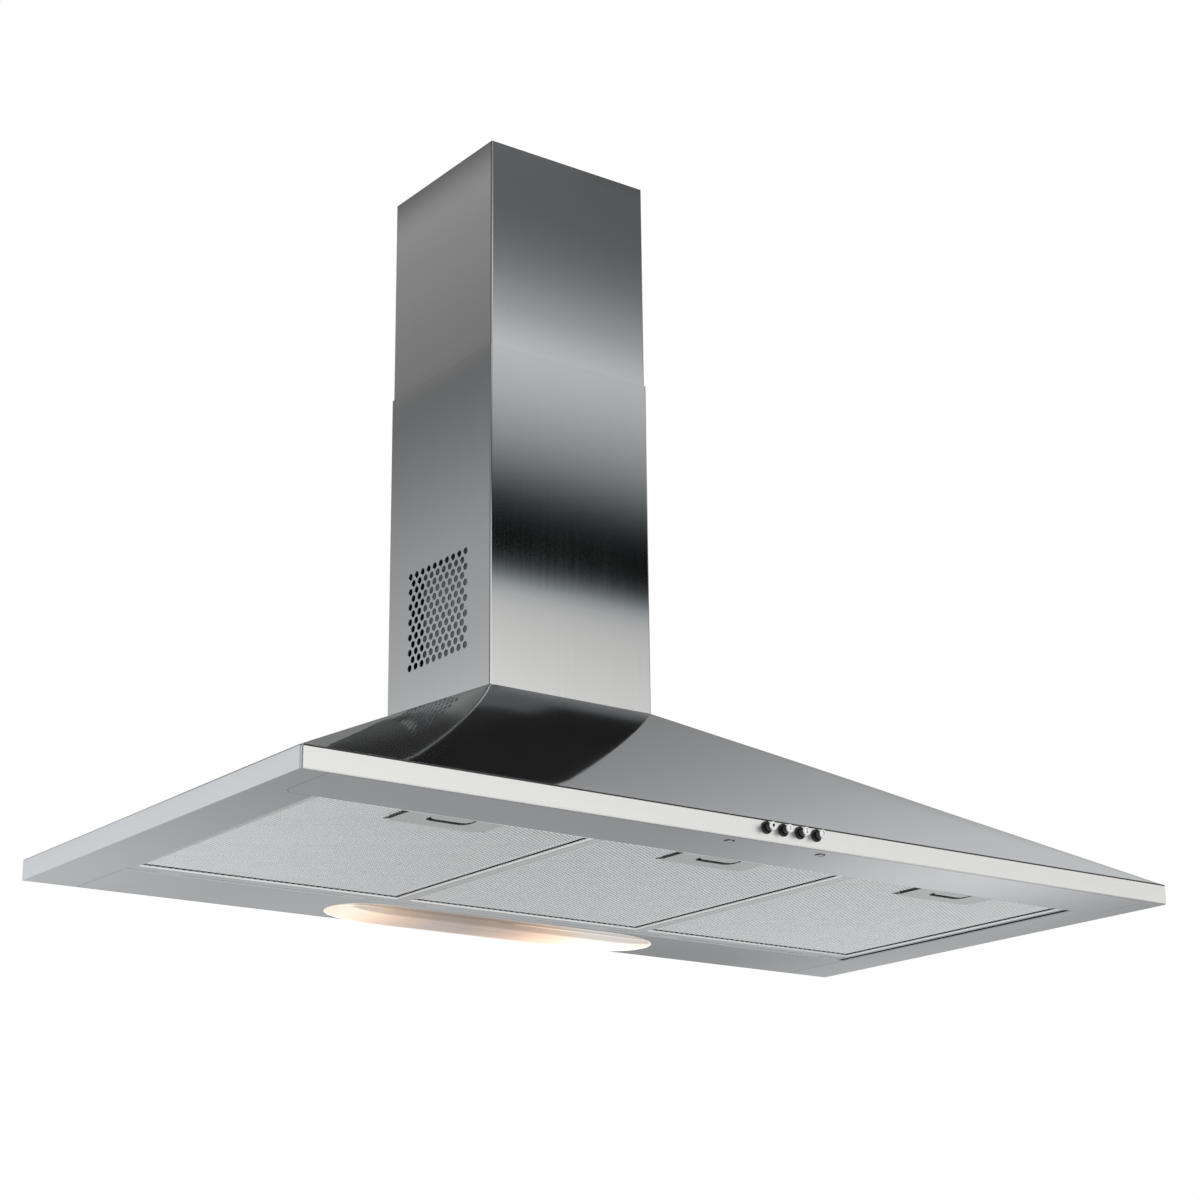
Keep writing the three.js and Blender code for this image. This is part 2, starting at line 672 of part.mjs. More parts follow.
function switchBlock() {
  const bottom = SHEET + CLEAR;
  const back = switchFront + SWITCH_D;
  let body = block(
    [-SWITCH_W / 2, SWITCH_W / 2],
    [switchFront, back],
    [bottom, bottom + SWITCH_H],
  );
  const screwY = -CANOPY_D + RAIL_SCREW_BACK;
  const earHalf = RAIL_SCREW_SPAN / 2 + SCREW_HEAD_D;
  body = body.add(block(
    [-earHalf, earHalf],
    [screwY - SWITCH_EAR_D / 2, screwY + SWITCH_EAR_D / 2],
    [bottom, bottom + SWITCH_EAR_T],
  ));
  const bore = BUTTON_D + 2 * BUTTON_GAP;
  const reach = switchFront + STEM_IN_SWITCH + BUTTON_TRAVEL + BUTTON_GAP;
  for (const x of buttonXs) {
    body = body.subtract(rod('y', bore, [switchFront - PAST, reach], [x, BUTTON_Z], 12));
  }
  for (const x of [-RAIL_SCREW_SPAN / 2, RAIL_SCREW_SPAN / 2]) {
    const ear = [bottom - PAST, bottom + SWITCH_EAR_T + PAST];
    body = body.subtract(rod('z', SCREW_D + 2 * SCREW_GAP, ear, [x, screwY], 10));
  }
  add(hood, 'switch_block', body, blackPlastic);
  for (const [name, side] of [['rail_screw_left', -1], ['rail_screw_right', 1]]) {
    const x = side * RAIL_SCREW_SPAN / 2;
    const shank = rod('z', SCREW_D, [-CLEAR - SCREW_HEAD_T / 2, SCREW_LENGTH], [x, screwY], 10);
    const head = rod('z', SCREW_HEAD_D, [-CLEAR - SCREW_HEAD_T, -CLEAR], [x, screwY], 12);
    add(hood, name, shank.add(head), galvanised);
  }
}

// ---- lamp ---------------------------------------------------------------

// A shallow moulded dish with a snap tab at its front edge; it drops open on its rear edge.
function lampCover() {
  const top = -CLEAR;
  const rim = slab(coverOutline(0), [top - COVER_WALL, top], 6);
  const steps = 2; // rings of the rounded underside
  let dish = rim;
  const ringInset = (k) => (COVER_DROP - COVER_WALL) * (1 - Math.cos(k / steps * Math.PI / 2));
  const ringDrop = (k) => (COVER_DROP - COVER_WALL) * Math.sin(k / steps * Math.PI / 2);
  for (let k = 1; k <= steps; k++) {
    dish = dish.add(slab(coverOutline(ringInset(k - 1)), [top - COVER_WALL - ringDrop(k), top], 6));
  }
  const hollow = slab(
    coverOutline(COVER_LAP + COVER_WALL),
    [top - COVER_DROP + COVER_WALL, top + PAST],
    6,
  );
  const snapFront = coverFront + COVER_LAP + LATCH_GAP;
  const snap = block(
    [LAMP_X - SNAP_W / 2, LAMP_X + SNAP_W / 2],
    [snapFront, snapFront + COVER_WALL],
    [top - COVER_WALL, SHEET + SNAP_H],
  );
  add(hood, 'lamp_cover', dish.subtract(hollow).add(snap), coverPlastic);
}

const holderTop = SHEET + CLEAR + REFLECTOR_H - REFLECTOR_SHEET - CLEAR;
const bulbY = (coverFront + coverBack) / 2;
const bulbZ = SHEET + BULB_LIFT + BULB_D / 2;

function lampReflector() {
  const z0 = SHEET + CLEAR;
  const reach = COVER_W / 2 - COVER_LAP + REFLECTOR_MARGIN;
  const box = (inset, z) => block(
    [LAMP_X - reach + inset, LAMP_X + reach - inset],
    [coverFront + COVER_LAP - REFLECTOR_MARGIN + inset, coverBack - COVER_LAP + REFLECTOR_MARGIN - inset],
    z,
  );
  const hollow = box(REFLECTOR_SHEET, [z0 - PAST, z0 + REFLECTOR_H - REFLECTOR_SHEET]);
  add(hood, 'lamp_reflector', box(0, [z0, z0 + REFLECTOR_H]).subtract(hollow), aluminium);
}

function lamps() {
  for (const [name, side] of [['left', -1], ['right', 1]]) {
    const group = new THREE.Group();
    group.position.set(LAMP_X, bulbY, 0);
    if (side < 0) group.rotation.z = Math.PI; // the left lamp faces the other way
    hood.add(group);
    const mouth = COVER_W / 2 - HOLDER_IN;
    const boreD = BULB_BASE_D + 2 * HOLDER_BORE_GAP;
    const body = rod('x', HOLDER_D, [mouth - HOLDER_LENGTH, mouth], [0, bulbZ]);
    const foot = block(
      [mouth - HOLDER_LENGTH, mouth - HOLDER_LENGTH / 3],
      [-HOLDER_D / 3, HOLDER_D / 3],
      [bulbZ, holderTop],
    );
    const bore = rod('x', boreD, [mouth - BULB_BASE_LENGTH, mouth + PAST], [0, bulbZ]);
    add(group, `lamp_holder_${name}`, body.add(foot).subtract(bore), whitePlastic);
    const neck = mouth + CLEAR;
    const r = BULB_D / 2;
    const outline = new THREE.SplineCurve([
      [BULB_BASE_D / 2, neck], [r * 0.75, neck + BULB_LENGTH * 0.2], [r, neck + BULB_LENGTH * 0.5],
      [r * 0.7, neck + BULB_LENGTH * 0.85], [r * 0.25, neck + BULB_LENGTH],
    ].map(([radius, x]) => new THREE.Vector2(radius, x))).getPoints(6);
    const profile = [
      new THREE.Vector2(0, mouth - BULB_BASE_LENGTH + HOLDER_BORE_GAP),
      new THREE.Vector2(BULB_BASE_D / 2, mouth - BULB_BASE_LENGTH + HOLDER_BORE_GAP),
      ...outline,
      new THREE.Vector2(0, neck + BULB_LENGTH),
    ];
    const bulb = new THREE.LatheGeometry(profile, 12).rotateZ(-Math.PI / 2).translate(0, 0, bulbZ);
    add(group, `bulb_${name}`, solid(bulb), bulbGlass);
  }
}

// ---- chimney ------------------------------------------------------------

const upperHalf = CHIMNEY_W / 2 - CHIMNEY_SHEET - CLEAR;
const upperFront = collarFront;
const upperBack = collarBack;
const lowerBottom = CANOPY_H + CLEAR;
const lowerTop = CANOPY_H + LOWER_H;
const upperTop = lowerTop + UPPER_SHOWN;

// A three-sided cover whose edges are folded in along the wall.
function chimneyCover(half, front, back, [z0, z1]) {
  const outer = block([-half, half], [front, back], [z0, z1]);
  const inner = block(
    [-half + CHIMNEY_SHEET, half - CHIMNEY_SHEET],
    [front + CHIMNEY_SHEET, back - CHIMNEY_SHEET],
    [z0 - PAST, z1 + PAST],
  );
  const rearHalf = half - CHIMNEY_RETURN;
  const rear = block(
    [-rearHalf, rearHalf],
    [back - CHIMNEY_SHEET - PAST, back + PAST],
    [z0 - PAST, z1 + PAST],
  );
  return outer.subtract(inner).subtract(rear);
}

function grilleHoles() {
  const holes = [];
  const r = GRILLE_HOLE_D / 2;
  for (let row = 0; row < GRILLE_ROWS; row++) {
    const offset = row % 2; // every other row is half a pitch in and one hole short
    for (let column = 0; column < GRILLE_COLUMNS - offset; column++) {
      const y = -GRILLE_BACK - (column + offset / 2) * GRILLE_PITCH_Y;
      const z = CANOPY_H + GRILLE_UP + row * GRILLE_PITCH_Z;
      holes.push(new THREE.CylinderGeometry(r, r, CHIMNEY_W + 2 * PAST, GRILLE_SIDES)
        .rotateZ(Math.PI / 2).translate(0, y, z));
    }
  }
  return solid(mergeGeometries(holes));
}

function chimney() {
  const lower = chimneyCover(CHIMNEY_W / 2, -CHIMNEY_D, 0, [lowerBottom, lowerTop]);
  add(hood, 'lower_chimney', lower.subtract(grilleHoles()), brushedSteel);
  const upper = chimneyCover(upperHalf, upperFront, upperBack, [upperTop - UPPER_H, upperTop]);
  add(hood, 'upper_chimney', upper, brushedSteel);
}

function chimneyBracket() {
  const half = upperHalf - CHIMNEY_SHEET - CLEAR;
  const back = upperBack - CHIMNEY_SHEET - CLEAR;
  const z = [upperTop - BRACKET_DROP - BRACKET_H, upperTop - BRACKET_DROP];
  const outer = block([-half, half], [back - BRACKET_EAR, back], z);
  const inner = block(
    [-half + BRACKET_T, half - BRACKET_T],
    [back - BRACKET_EAR - PAST, back - BRACKET_T],
    [z[0] - PAST, z[1] + PAST],
  );
  const padHalf = upperHalf - CHIMNEY_RETURN - CLEAR; // reaches the wall between the folded edges
  let bracket = outer.subtract(inner).add(block([-padHalf, padHalf], [back - BRACKET_T, 0], z));
  for (const x of [-BRACKET_HOLE_SPAN / 2, BRACKET_HOLE_SPAN / 2]) {
    const hole = rod('y', BRACKET_HOLE_D, [back - BRACKET_T - PAST, PAST], [x, (z[0] + z[1]) / 2], 16);
    bracket = bracket.subtract(hole);
  }
  add(hood, 'chimney_bracket', bracket, galvanised);
}

// ---- blower -------------------------------------------------------------

const fanAxis = [-SCROLL_Y, collarTop - FAN_DROP];
const casingTop = collarTop + CASING_RISE;
const throatBack = -CASING_BACK;
const throatFront = throatBack - CASING_D;
const scrollEndR = -SCROLL_Y - throatFront; // the spiral runs out into the front of the throat

// Side view of the casing in y and z, drawn in by inset: a spiral that opens into a throat.
function scrollOutline(inset, top) {
  const startAngle = Math.acos((throatBack + SCROLL_Y) / SCROLL_START_R);
  const turns = 14;
  const shape = new THREE.Shape();
  shape.moveTo(throatFront + inset, top);
  for (let k = 0; k <= turns; k++) {
    const t = k / turns;
    const angle = Math.PI + t * (Math.PI + startAngle); // from the front, under the fan, to the tongue
    const r = scrollEndR + t * (SCROLL_START_R - scrollEndR) - inset;
    shape.lineTo(fanAxis[0] + r * Math.cos(angle), fanAxis[1] + r * Math.sin(angle));
  }
  shape.lineTo(throatBack - inset, fanAxis[1] + SCROLL_START_R * Math.sin(startAngle) + inset);
  shape.lineTo(throatBack - inset, top);
  return shape;
}

// Extrudes a shape drawn in y and z along x.
function across(shape, [x0, x1]) {
  const geometry = new THREE.ExtrudeGeometry(shape, { depth: x1 - x0, bevelEnabled: false });
  geometry.applyMatrix4(new THREE.Matrix4().set(0, 0, 1, x0, 1, 0, 0, 0, 0, 1, 0, 0, 0, 0, 0, 1));
  return solid(geometry);
}

function blowerCasing() {
  const half = CASING_W / 2;
  const inner = half - CASING_WALL;
  const full = across(scrollOutline(0, casingTop), [-half, half])
    .subtract(across(scrollOutline(CASING_WALL, casingTop + PAST), [-inner, inner]))
    .subtract(rod('x', INLET_D, [-half - PAST, half + PAST], fanAxis, 24));
  const everywhere = CANOPY_D;
  const side = (x) => block(x, [-everywhere, everywhere], [-everywhere, everywhere]);
  add(hood, 'blower_casing_left', full.intersect(side([-half - PAST, -CLEAR / 2])), greyPlastic);
  add(hood, 'blower_casing_right', full.intersect(side([CLEAR / 2, half + PAST])), greyPlastic);
}

// Box-section hangers between the casing and the canopy's collar.
function blowerStandoffs() {
  const y = (throatFront + throatBack) / 2;
  const z1 = collarTop - SHEET;
  const x = [CASING_W / 2 + CLEAR, collarHalf - SHEET - CLEAR];
  const tube = block(x, [y - STANDOFF_L / 2, y + STANDOFF_L / 2], [z1 - STANDOFF_H, z1]);
  const hollow = block(
    [x[0] + STANDOFF_WALL, x[1] - STANDOFF_WALL],
    [y - STANDOFF_L / 2 - PAST, y + STANDOFF_L / 2 + PAST],
    [z1 - STANDOFF_H + STANDOFF_WALL, z1 - STANDOFF_WALL],
  );
  const right = tube.subtract(hollow);
  add(hood, 'blower_hanger_left', right.mirror([1, 0, 0]), galvanised);
  add(hood, 'blower_hanger_right', right, galvanised);
}

const spiderX = -CASING_W / 2 - CLEAR; // inner face of the motor's spider
const motorBack = spiderX + CLEAR;

function motor() {
  const body = rod('x', MOTOR_D, [motorBack, motorBack + MOTOR_L], fanAxis, 24);
  const bore = rod('x', BEARING_D + 2 * CLEAR, [motorBack - PAST, motorBack + MOTOR_L + PAST], fanAxis, 24);
  add(hood, 'motor', body.subtract(bore), galvanised);
  const ends = [['bearing_rear', motorBack], ['bearing_front', motorBack + MOTOR_L - BEARING_T]];
  for (const [name, x] of ends) {
    const ring = rod('x', BEARING_D, [x, x + BEARING_T], fanAxis, 16);
    const hole = rod('x', SHAFT_D + 2 * SHAFT_GAP, [x - PAST, x + BEARING_T + PAST], fanAxis, 24);
    add(hood, name, ring.subtract(hole), chrome);
  }
}

function motorSpider() {
  const x = [spiderX - SPIDER_T, spiderX];
  const ringD = INLET_D + 2 * SPIDER_RING_W;
  const past = [x[0] - PAST, x[1] + PAST];
  let spider = rod('x', ringD, x, fanAxis, 24).subtract(rod('x', INLET_D, past, fanAxis, 24));
  spider = spider.add(rod('x', SPIDER_HUB_D, x, fanAxis, 24));
  for (let k = 0; k < SPIDER_ARMS; k++) {
    const angle = Math.PI / 2 + k * 2 * Math.PI / SPIDER_ARMS;
    const reach = INLET_D / 2 + SPIDER_RING_W / 2;
    const arm = new THREE.BoxGeometry(SPIDER_T, reach, SPIDER_ARM_W)
      .translate(0, reach / 2, 0).rotateX(angle)
      .translate((x[0] + x[1]) / 2, fanAxis[0], fanAxis[1]);
    spider = spider.add(solid(arm));
  }
  add(hood, 'motor_spider', spider, galvanised);
}

// A double-width wheel: blades between two rings and a middle disc on a hub.
function impeller() {
  const half = FAN_W / 2;
  const ringT = FAN_DISC_T;
  const rim = (x) => rod('x', FAN_D, [x, x + ringT], fanAxis, FAN_BLADES)
    .subtract(rod('x', FAN_EYE_D, [x - PAST, x + ringT + PAST], fanAxis, FAN_BLADES));
  const disc = rod('x', FAN_D, [-ringT / 2, ringT / 2], fanAxis, FAN_BLADES);
  let wheel = rim(-half).add(rim(half - ringT)).add(disc);
  const bladeDepth = (FAN_D - FAN_EYE_D) / 2;
  const blades = [];
  for (let k = 0; k < FAN_BLADES; k++) {
    const angle = (k + 0.5) * 2 * Math.PI / FAN_BLADES;
    blades.push(new THREE.BoxGeometry(FAN_W - ringT, bladeDepth * 0.8, FAN_BLADE_T)
      .translate(0, (FAN_D + FAN_EYE_D) / 4, 0).rotateX(angle)
      .translate(0, fanAxis[0], fanAxis[1]));
  }
  wheel = wheel.add(solid(mergeGeometries(blades)));
  wheel = wheel.add(rod('x', FAN_HUB_D, [-FAN_HUB_L / 2, FAN_HUB_L / 2], fanAxis, 20));
  const bore = rod('x', SHAFT_D + 2 * CLEAR, [-FAN_HUB_L, FAN_HUB_L], fanAxis, 20);
  add(hood, 'fan_wheel', wheel.subtract(bore), blackPlastic);
  const shaft = rod('x', SHAFT_D, [motorBack + CLEAR, FAN_HUB_L / 2 + PAST], fanAxis, 24);
  add(hood, 'motor_shaft', shaft, chrome);
}

// ---- duct collar --------------------------------------------------------

const outletY = (throatFront + throatBack) / 2;
const outletBase = casingTop + CLEAR;
const flapZ = outletBase + OUTLET_BASE_T + FLAP_UP;
const outletBore = OUTLET_D - 2 * OUTLET_WALL;

function outletCollar() {
  const base = block(
    [-CASING_W / 2, CASING_W / 2],
    [throatFront, throatBack],
    [outletBase, outletBase + OUTLET_BASE_T],
  );
  const top = outletBase + OUTLET_BASE_T + OUTLET_H;
  const at = [0, outletY];
  const tube = rod('z', OUTLET_D, [outletBase, top], at, 28);
  const stopTop = flapZ - FLAP_T / 2 - CLEAR;
  const collar = base.add(tube)
    .subtract(rod('z', outletBore - 2 * STOP_W, [outletBase - PAST, top + PAST], at, 28))
    .subtract(rod('z', outletBore, [stopTop, top + PAST], at, 28))
    .subtract(rod('z', outletBore, [outletBase - PAST, stopTop - STOP_T], at, 28))
    .subtract(rod('x', FLAP_PIN_D + 2 * CLEAR, [-OUTLET_D, OUTLET_D], [outletY, flapZ], 12));
  add(hood, 'outlet_collar', collar, greyPlastic);
  const reach = OUTLET_D / 2 - CLEAR;
  add(hood, 'flap_pin', rod('x', FLAP_PIN_D, [-reach, reach], [outletY, flapZ], 12), chrome);
}

// A half disc with one knuckle on the pin. side is -1 for the front flap and 1 for the rear one.
function flap(side, name) {
  const r = outletBore / 2 - FLAP_EDGE_GAP;
  const group = new THREE.Group();
  group.position.set(0, outletY, flapZ);
  if (side < 0) group.rotation.z = Math.PI; // the front flap is the same piece, turned round
  hood.add(group);
  const start = Math.asin(FLAP_HINGE_GAP / r);
  const shape = new THREE.Shape();
  shape.absarc(0, 0, r, start, Math.PI - start, false);
  shape.closePath();
  const knuckle = [KNUCKLE_OUT, KNUCKLE_OUT + KNUCKLE_L];
  const plate = slab(shape, [-FLAP_T / 2, FLAP_T / 2], 12)
    .add(block(knuckle, [0, FLAP_HINGE_GAP + PAST], [-FLAP_T / 2, FLAP_T / 2]))
    .add(rod('x', KNUCKLE_D, knuckle, [0, 0], 10))
    .subtract(rod('x', KNUCKLE_BORE_D, [knuckle[0] - PAST, knuckle[1] + PAST], [0, 0], 10));
  add(group, name, plate, greyPlastic);
}

// ---- electrics ----------------------------------------------------------

function terminalBox() {
  const back = -(SHEET + CLEAR);
  const x = [TERMINAL_X - TERMINAL_W / 2, TERMINAL_X + TERMINAL_W / 2];
  const z = [TERMINAL_Z, TERMINAL_Z + TERMINAL_H];
  const front = back - TERMINAL_D;
  const w = TERMINAL_WALL;
  const glandY = back - TERMINAL_D / 2;
  const box = block(x, [front, back], z)
    .subtract(block([x[0] + w, x[1] - w], [front - PAST, back - w], [z[0] + w, z[1] - w]))
    .subtract(rod('z', GLAND_NECK_D + 2 * CLEAR, [z[1] - w - PAST, z[1] + PAST], [TERMINAL_X, glandY]));
  add(hood, 'terminal_box', box, greyPlastic);
  const lid = block(x, [front - CLEAR - w, front - CLEAR], z);
  add(hood, 'terminal_cover', lid, greyPlastic);
  const entry = [TERMINAL_X, glandY];
  const gland = rod('z', GLAND_D, [z[1] + CLEAR, z[1] + CLEAR + GLAND_H], entry, 12)
    .add(rod('z', GLAND_NECK_D, [z[1] - 2 * w, z[1] + 2 * CLEAR], entry))
    .subtract(rod('z', GLAND_BORE_D, [z[1] - 2 * w - PAST, z[1] + GLAND_H + PAST], entry, 16));
  add(hood, 'cable_gland', gland, blackPlastic);
}

function capacitor() {
  const back = -(SHEET + CLEAR);
  const height = [CAPACITOR_Z, CAPACITOR_Z + CAPACITOR_H];
  const can = rod('z', CAPACITOR_D, height, [CAPACITOR_X, back - CAPACITOR_D / 2]);
  const foot = block(
    [CAPACITOR_X - CAPACITOR_D / 2, CAPACITOR_X + CAPACITOR_D / 2],
    [back - CAPACITOR_FOOT_T, back],
    height,
  );
  add(hood, 'motor_capacitor', can.add(foot), whitePlastic);
}

// ---- assembly -----------------------------------------------------------

canopyShell();
hangers();
frontFascia();
frontRail();
lampPanel();
filters();
buttons();
switchBlock();
lampCover();
lampReflector();
lamps();
chimney();
chimneyBracket();
blowerCasing();
blowerStandoffs();
motor();
motorSpider();
impeller();
outletCollar();
flap(-1, 'flap_front');
flap(1, 'flap_rear');
terminalBox();
capacitor();

hood.position.z = -HANG_Z;
const part = new THREE.Group();
part.add(hood);

export default part;
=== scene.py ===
import math

import bpy
from mathutils import Matrix, Vector


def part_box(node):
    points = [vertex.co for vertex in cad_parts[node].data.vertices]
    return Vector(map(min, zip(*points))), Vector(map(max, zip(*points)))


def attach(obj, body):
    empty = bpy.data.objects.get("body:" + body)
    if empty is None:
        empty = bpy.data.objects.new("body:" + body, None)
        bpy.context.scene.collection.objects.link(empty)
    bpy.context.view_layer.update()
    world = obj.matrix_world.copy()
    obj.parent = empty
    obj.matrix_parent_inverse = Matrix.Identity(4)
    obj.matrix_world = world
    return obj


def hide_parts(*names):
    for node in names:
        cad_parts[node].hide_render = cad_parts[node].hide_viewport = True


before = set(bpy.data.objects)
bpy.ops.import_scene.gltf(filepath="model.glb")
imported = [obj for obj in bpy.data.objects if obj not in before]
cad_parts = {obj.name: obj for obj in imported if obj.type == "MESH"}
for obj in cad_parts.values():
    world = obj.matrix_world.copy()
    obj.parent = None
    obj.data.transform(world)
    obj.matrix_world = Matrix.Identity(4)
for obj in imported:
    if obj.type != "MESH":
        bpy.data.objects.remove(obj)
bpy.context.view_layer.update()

# Camera: it stands left of the hood, lower than it, and looks up under it through a long
# lens, as a product photographer's would. The numbers come from a fit to the hood's corners.
QUARTER_TURN = math.pi / 2
FOCAL_LENGTH, SENSOR_WIDTH = 76.5, 36  # millimetres
EYE = (-1.3204, -2.0009, -0.56445)
HEADING, PITCH, ROLL = -0.6377, 0.3133, 0.0105  # radians

lens = bpy.data.cameras.new("camera")
lens.lens, lens.sensor_width, lens.clip_end = FOCAL_LENGTH, SENSOR_WIDTH, 60
camera = bpy.data.objects.new("camera", lens)
bpy.context.collection.objects.link(camera)
camera.matrix_world = (
    Matrix.Translation(EYE) @ Matrix.Rotation(HEADING, 4, "Z") @ Matrix.Rotation(PITCH, 4, "X")
    @ Matrix.Rotation(ROLL, 4, "Y") @ Matrix.Rotation(QUARTER_TURN, 4, "X")
)
bpy.context.scene.camera = camera
bpy.context.scene.view_settings.view_transform = "Standard"


# Studio: white to the eye, the steel and the glass, and a soft even sky for everything
# else. Painted cards stand round the hood, as flags and reflectors do beside a product in
# steel, and only its mirror finishes see them.
class Tone:
    """A value in a material: sums and products of it add their Math nodes to the tree."""

    def __init__(self, tree, socket=None):
        self.tree, self.socket = tree, socket

    def node(self, kind, settings, inputs, output=0):
        """A new node of a kind, with its settings and its inputs, each a plain value or a Tone."""
        made = self.tree.nodes.new("ShaderNode" + kind)
        for key, value in settings.items():
            if key == "stops":
                ramp = made.color_ramp.elements
                while len(ramp) < len(value):
                    ramp.new(0.5)
                for stop, (place, shade) in zip(ramp, value):
                    stop.position = place
                    stop.color = (shade, shade, shade, 1) if isinstance(shade, float) else shade
            else:
                setattr(made, key, value)
        for key, value in inputs.items():
            if isinstance(value, Tone):
                self.tree.links.new(value.socket, made.inputs[key])
            else:
                made.inputs[key].default_value = value
        return Tone(self.tree, made.outputs[output])

    def _math(self, operation, *values):
        return self.node("Math", {"operation": operation}, dict(enumerate(values)))

    def __add__(self, other):
        return self._math("ADD", self, other)

    __radd__ = __add__

    def __sub__(self, other):
        return self._math("SUBTRACT", self, other)

    def __rsub__(self, other):
        return self._math("SUBTRACT", other, self)

    def __mul__(self, other):
        return self._math("MULTIPLY", self, other)

    __rmul__ = __mul__

    def __truediv__(self, other):
        return self._math("DIVIDE", self, other)

    def __gt__(self, other):
        return self._math("GREATER_THAN", self, other)

    def ramp(self, *stops):
        """A ramp over it, from stops of (place from 0 to 1, shade or colour)."""
        return self.node("ValToRGB", {"stops": stops}, {0: self})

    def axis(self, letter):
        return self.node("SeparateXYZ", {}, {0: self}, "XYZ".index(letter))

    def noise(self, scale, stretch=(1, 1, 1), detail=2.0, roughness=0.5):
        stretched = self.node("Mapping", {}, {"Vector": self, "Scale": stretch})
        return self.node(
            "TexNoise", {}, {"Vector": stretched, "Scale": scale, "Detail": detail, "Roughness": roughness}
        )

    def colours(self, low, high):
        """A mix of two colours by it."""
        return self.node("Mix", {"data_type": "RGBA"}, {0: self, 6: (*low, 1), 7: (*high, 1)}, 2)


def fresh(name, add, scale=(1, 1, 1), **where):
    """Adds one primitive, by itself in the selection, under the name of its piece."""
    bpy.ops.object.select_all(action="DESELECT")
    add(**where)
    piece = bpy.context.object
    piece.scale = scale
    piece.name = piece.data.name = name
    bpy.ops.object.transform_apply(location=True, rotation=True, scale=True)
    return piece


def shine(name, strength, tint=lambda place: (1, 1, 1, 1)):
    """An emission material, its strength and tint worked out from the piece's coordinates."""
    material = bpy.data.materials.new(name)
    material.use_nodes = True
    tree = material.node_tree
    tree.nodes.remove(tree.nodes["Principled BSDF"])
    place = Tone(tree).node("TexCoord", {}, {}, "Object")
    glow = place.node("Emission", {}, {"Strength": strength(place), "Color": tint(place)})
    tree.links.new(glow.socket, tree.nodes["Material Output"].inputs["Surface"])
    return material


def backdrop(piece, material):
    """Gives a glowing piece its material, and hides it from all but a mirror finish."""
    piece.data.materials.append(material)
    piece.visible_camera = piece.visible_diffuse = False
    piece.visible_shadow = piece.visible_transmission = False


STEEL_SHARE = 0.72  # of the light that falls on it, what the satin steel sends on


def card(name, letter, centre, width, height, shades,
         across=((0, 1.0), (1, 1.0)), tints=((0, (1.0, 1.0, 1.0)),)):
    """
    An upright card along the X or the Y axis. It has shades, as the steel shows them, and tints
    by height, and factors on the shades across it.
    """
    piece = fresh(
        name, bpy.ops.mesh.primitive_plane_add, scale=(width, height, 1), size=1, location=centre,
        rotation=(QUARTER_TURN, 0, QUARTER_TURN if letter == "Y" else 0),
    )
    low = centre[2] - height / 2
    first, last = across[0][0], across[-1][0]

    def climb(level):
        return (level - low) / height

    def pan(spot):
        return (spot - first) / (last - first)

    shade_stops = [(climb(level), shade / STEEL_SHARE) for level, shade in shades]
    tint_stops = [(climb(level), (*tint, 1)) for level, tint in tints]
    factor_stops = [(pan(spot), factor) for spot, factor in across]

    def strength(place):
        return climb(place.axis("Z")).ramp(*shade_stops) * pan(place.axis(letter)).ramp(*factor_stops)

    backdrop(piece, shine(name, strength, lambda place: climb(place.axis("Z")).ramp(*tint_stops)))


# Pairs of (level, shade), (level, tint) or (place across, factor), in metres. The front card
# shows in the chimney's front, with its dark band, and in the fascia.
FRONT_SHADES = (
    (-0.5, 0.44), (0.4, 0.72), (0.9, 0.70), (1.08, 0.60), (1.20, 0.51), (1.255, 0.46), (1.295, 0.38),
    (1.325, 0.10), (1.35, 0.008), (1.37, 0.0), (1.40, 0.0), (1.455, 0.004), (1.51, 0.026),
    (1.565, 0.09), (1.62, 0.18), (1.69, 0.28), (1.74, 0.34), (1.79, 0.40), (1.85, 0.45), (1.90, 0.49),
    (1.95, 0.40), (2.00, 0.30), (2.06, 0.235), (2.11, 0.175), (2.17, 0.135), (2.22, 0.112),
    (2.28, 0.10), (2.45, 0.10), (2.65, 0.30), (5.0, 0.34),
)
FRONT_ACROSS = ((-2, 1.10), (0.85, 1.10), (1.85, 1.03), (2.2, 0.95), (3.4, 0.91), (6, 0.9))
FRONT_TINTS = (
    (1.27, (1.0, 0.99, 0.97)), (1.32, (0.80, 0.95, 1.0)), (1.60, (0.92, 0.975, 1.0)),
    (1.90, (0.97, 0.985, 1.0)),
)
# The left card shows in the chimney's side and in the canopy's left slope. It turns paler and
# warmer above the level that the seam between the two covers mirrors.
LEFT_SHADES = (
    (0.2, 0.55), (1.1, 0.62), (1.28, 0.60), (1.42, 0.50), (1.59, 0.42), (1.70, 0.37), (1.82, 0.34),
    (2.10, 0.276), (2.23, 0.235), (2.37, 0.190), (2.51, 0.155), (2.63, 0.128), (2.68, 0.150),
    (2.72, 0.175), (2.86, 0.183), (3.0, 0.208), (3.15, 0.223), (3.30, 0.267), (3.42, 0.08), (5.0, 0.06),
)
LEFT_ACROSS = ((-3, 0.05), (-1.3, 0.05), (-0.9, 0.38), (3.3, 0.38), (3.8, 1.0), (8, 1.0))
LEFT_TINTS = ((2.64, (0.97, 0.985, 1.0)), (2.68, (1.0, 0.995, 0.98)))
# The back card shows in the canopy's wide front slope, right of the chimney's own mirror image,
# and the two flags in the dark part of that slope.
BACK_SHADES = ((1.0, 0.25), (3.6, 0.25))
BACK_ACROSS = (
    (0.4, 0.62), (2.4, 0.68), (2.7, 0.80), (3.0, 0.93), (3.3, 1.08), (3.6, 1.23), (4.0, 1.47),
    (4.4, 1.68), (5.1, 1.80), (7.4, 1.80),
)
BLACK_FLAG_SHADES = ((2.2, 0.010), (3.1, 0.013))
SIDE_FLAG_SHADES = ((2.4, 0.020), (3.1, 0.013))

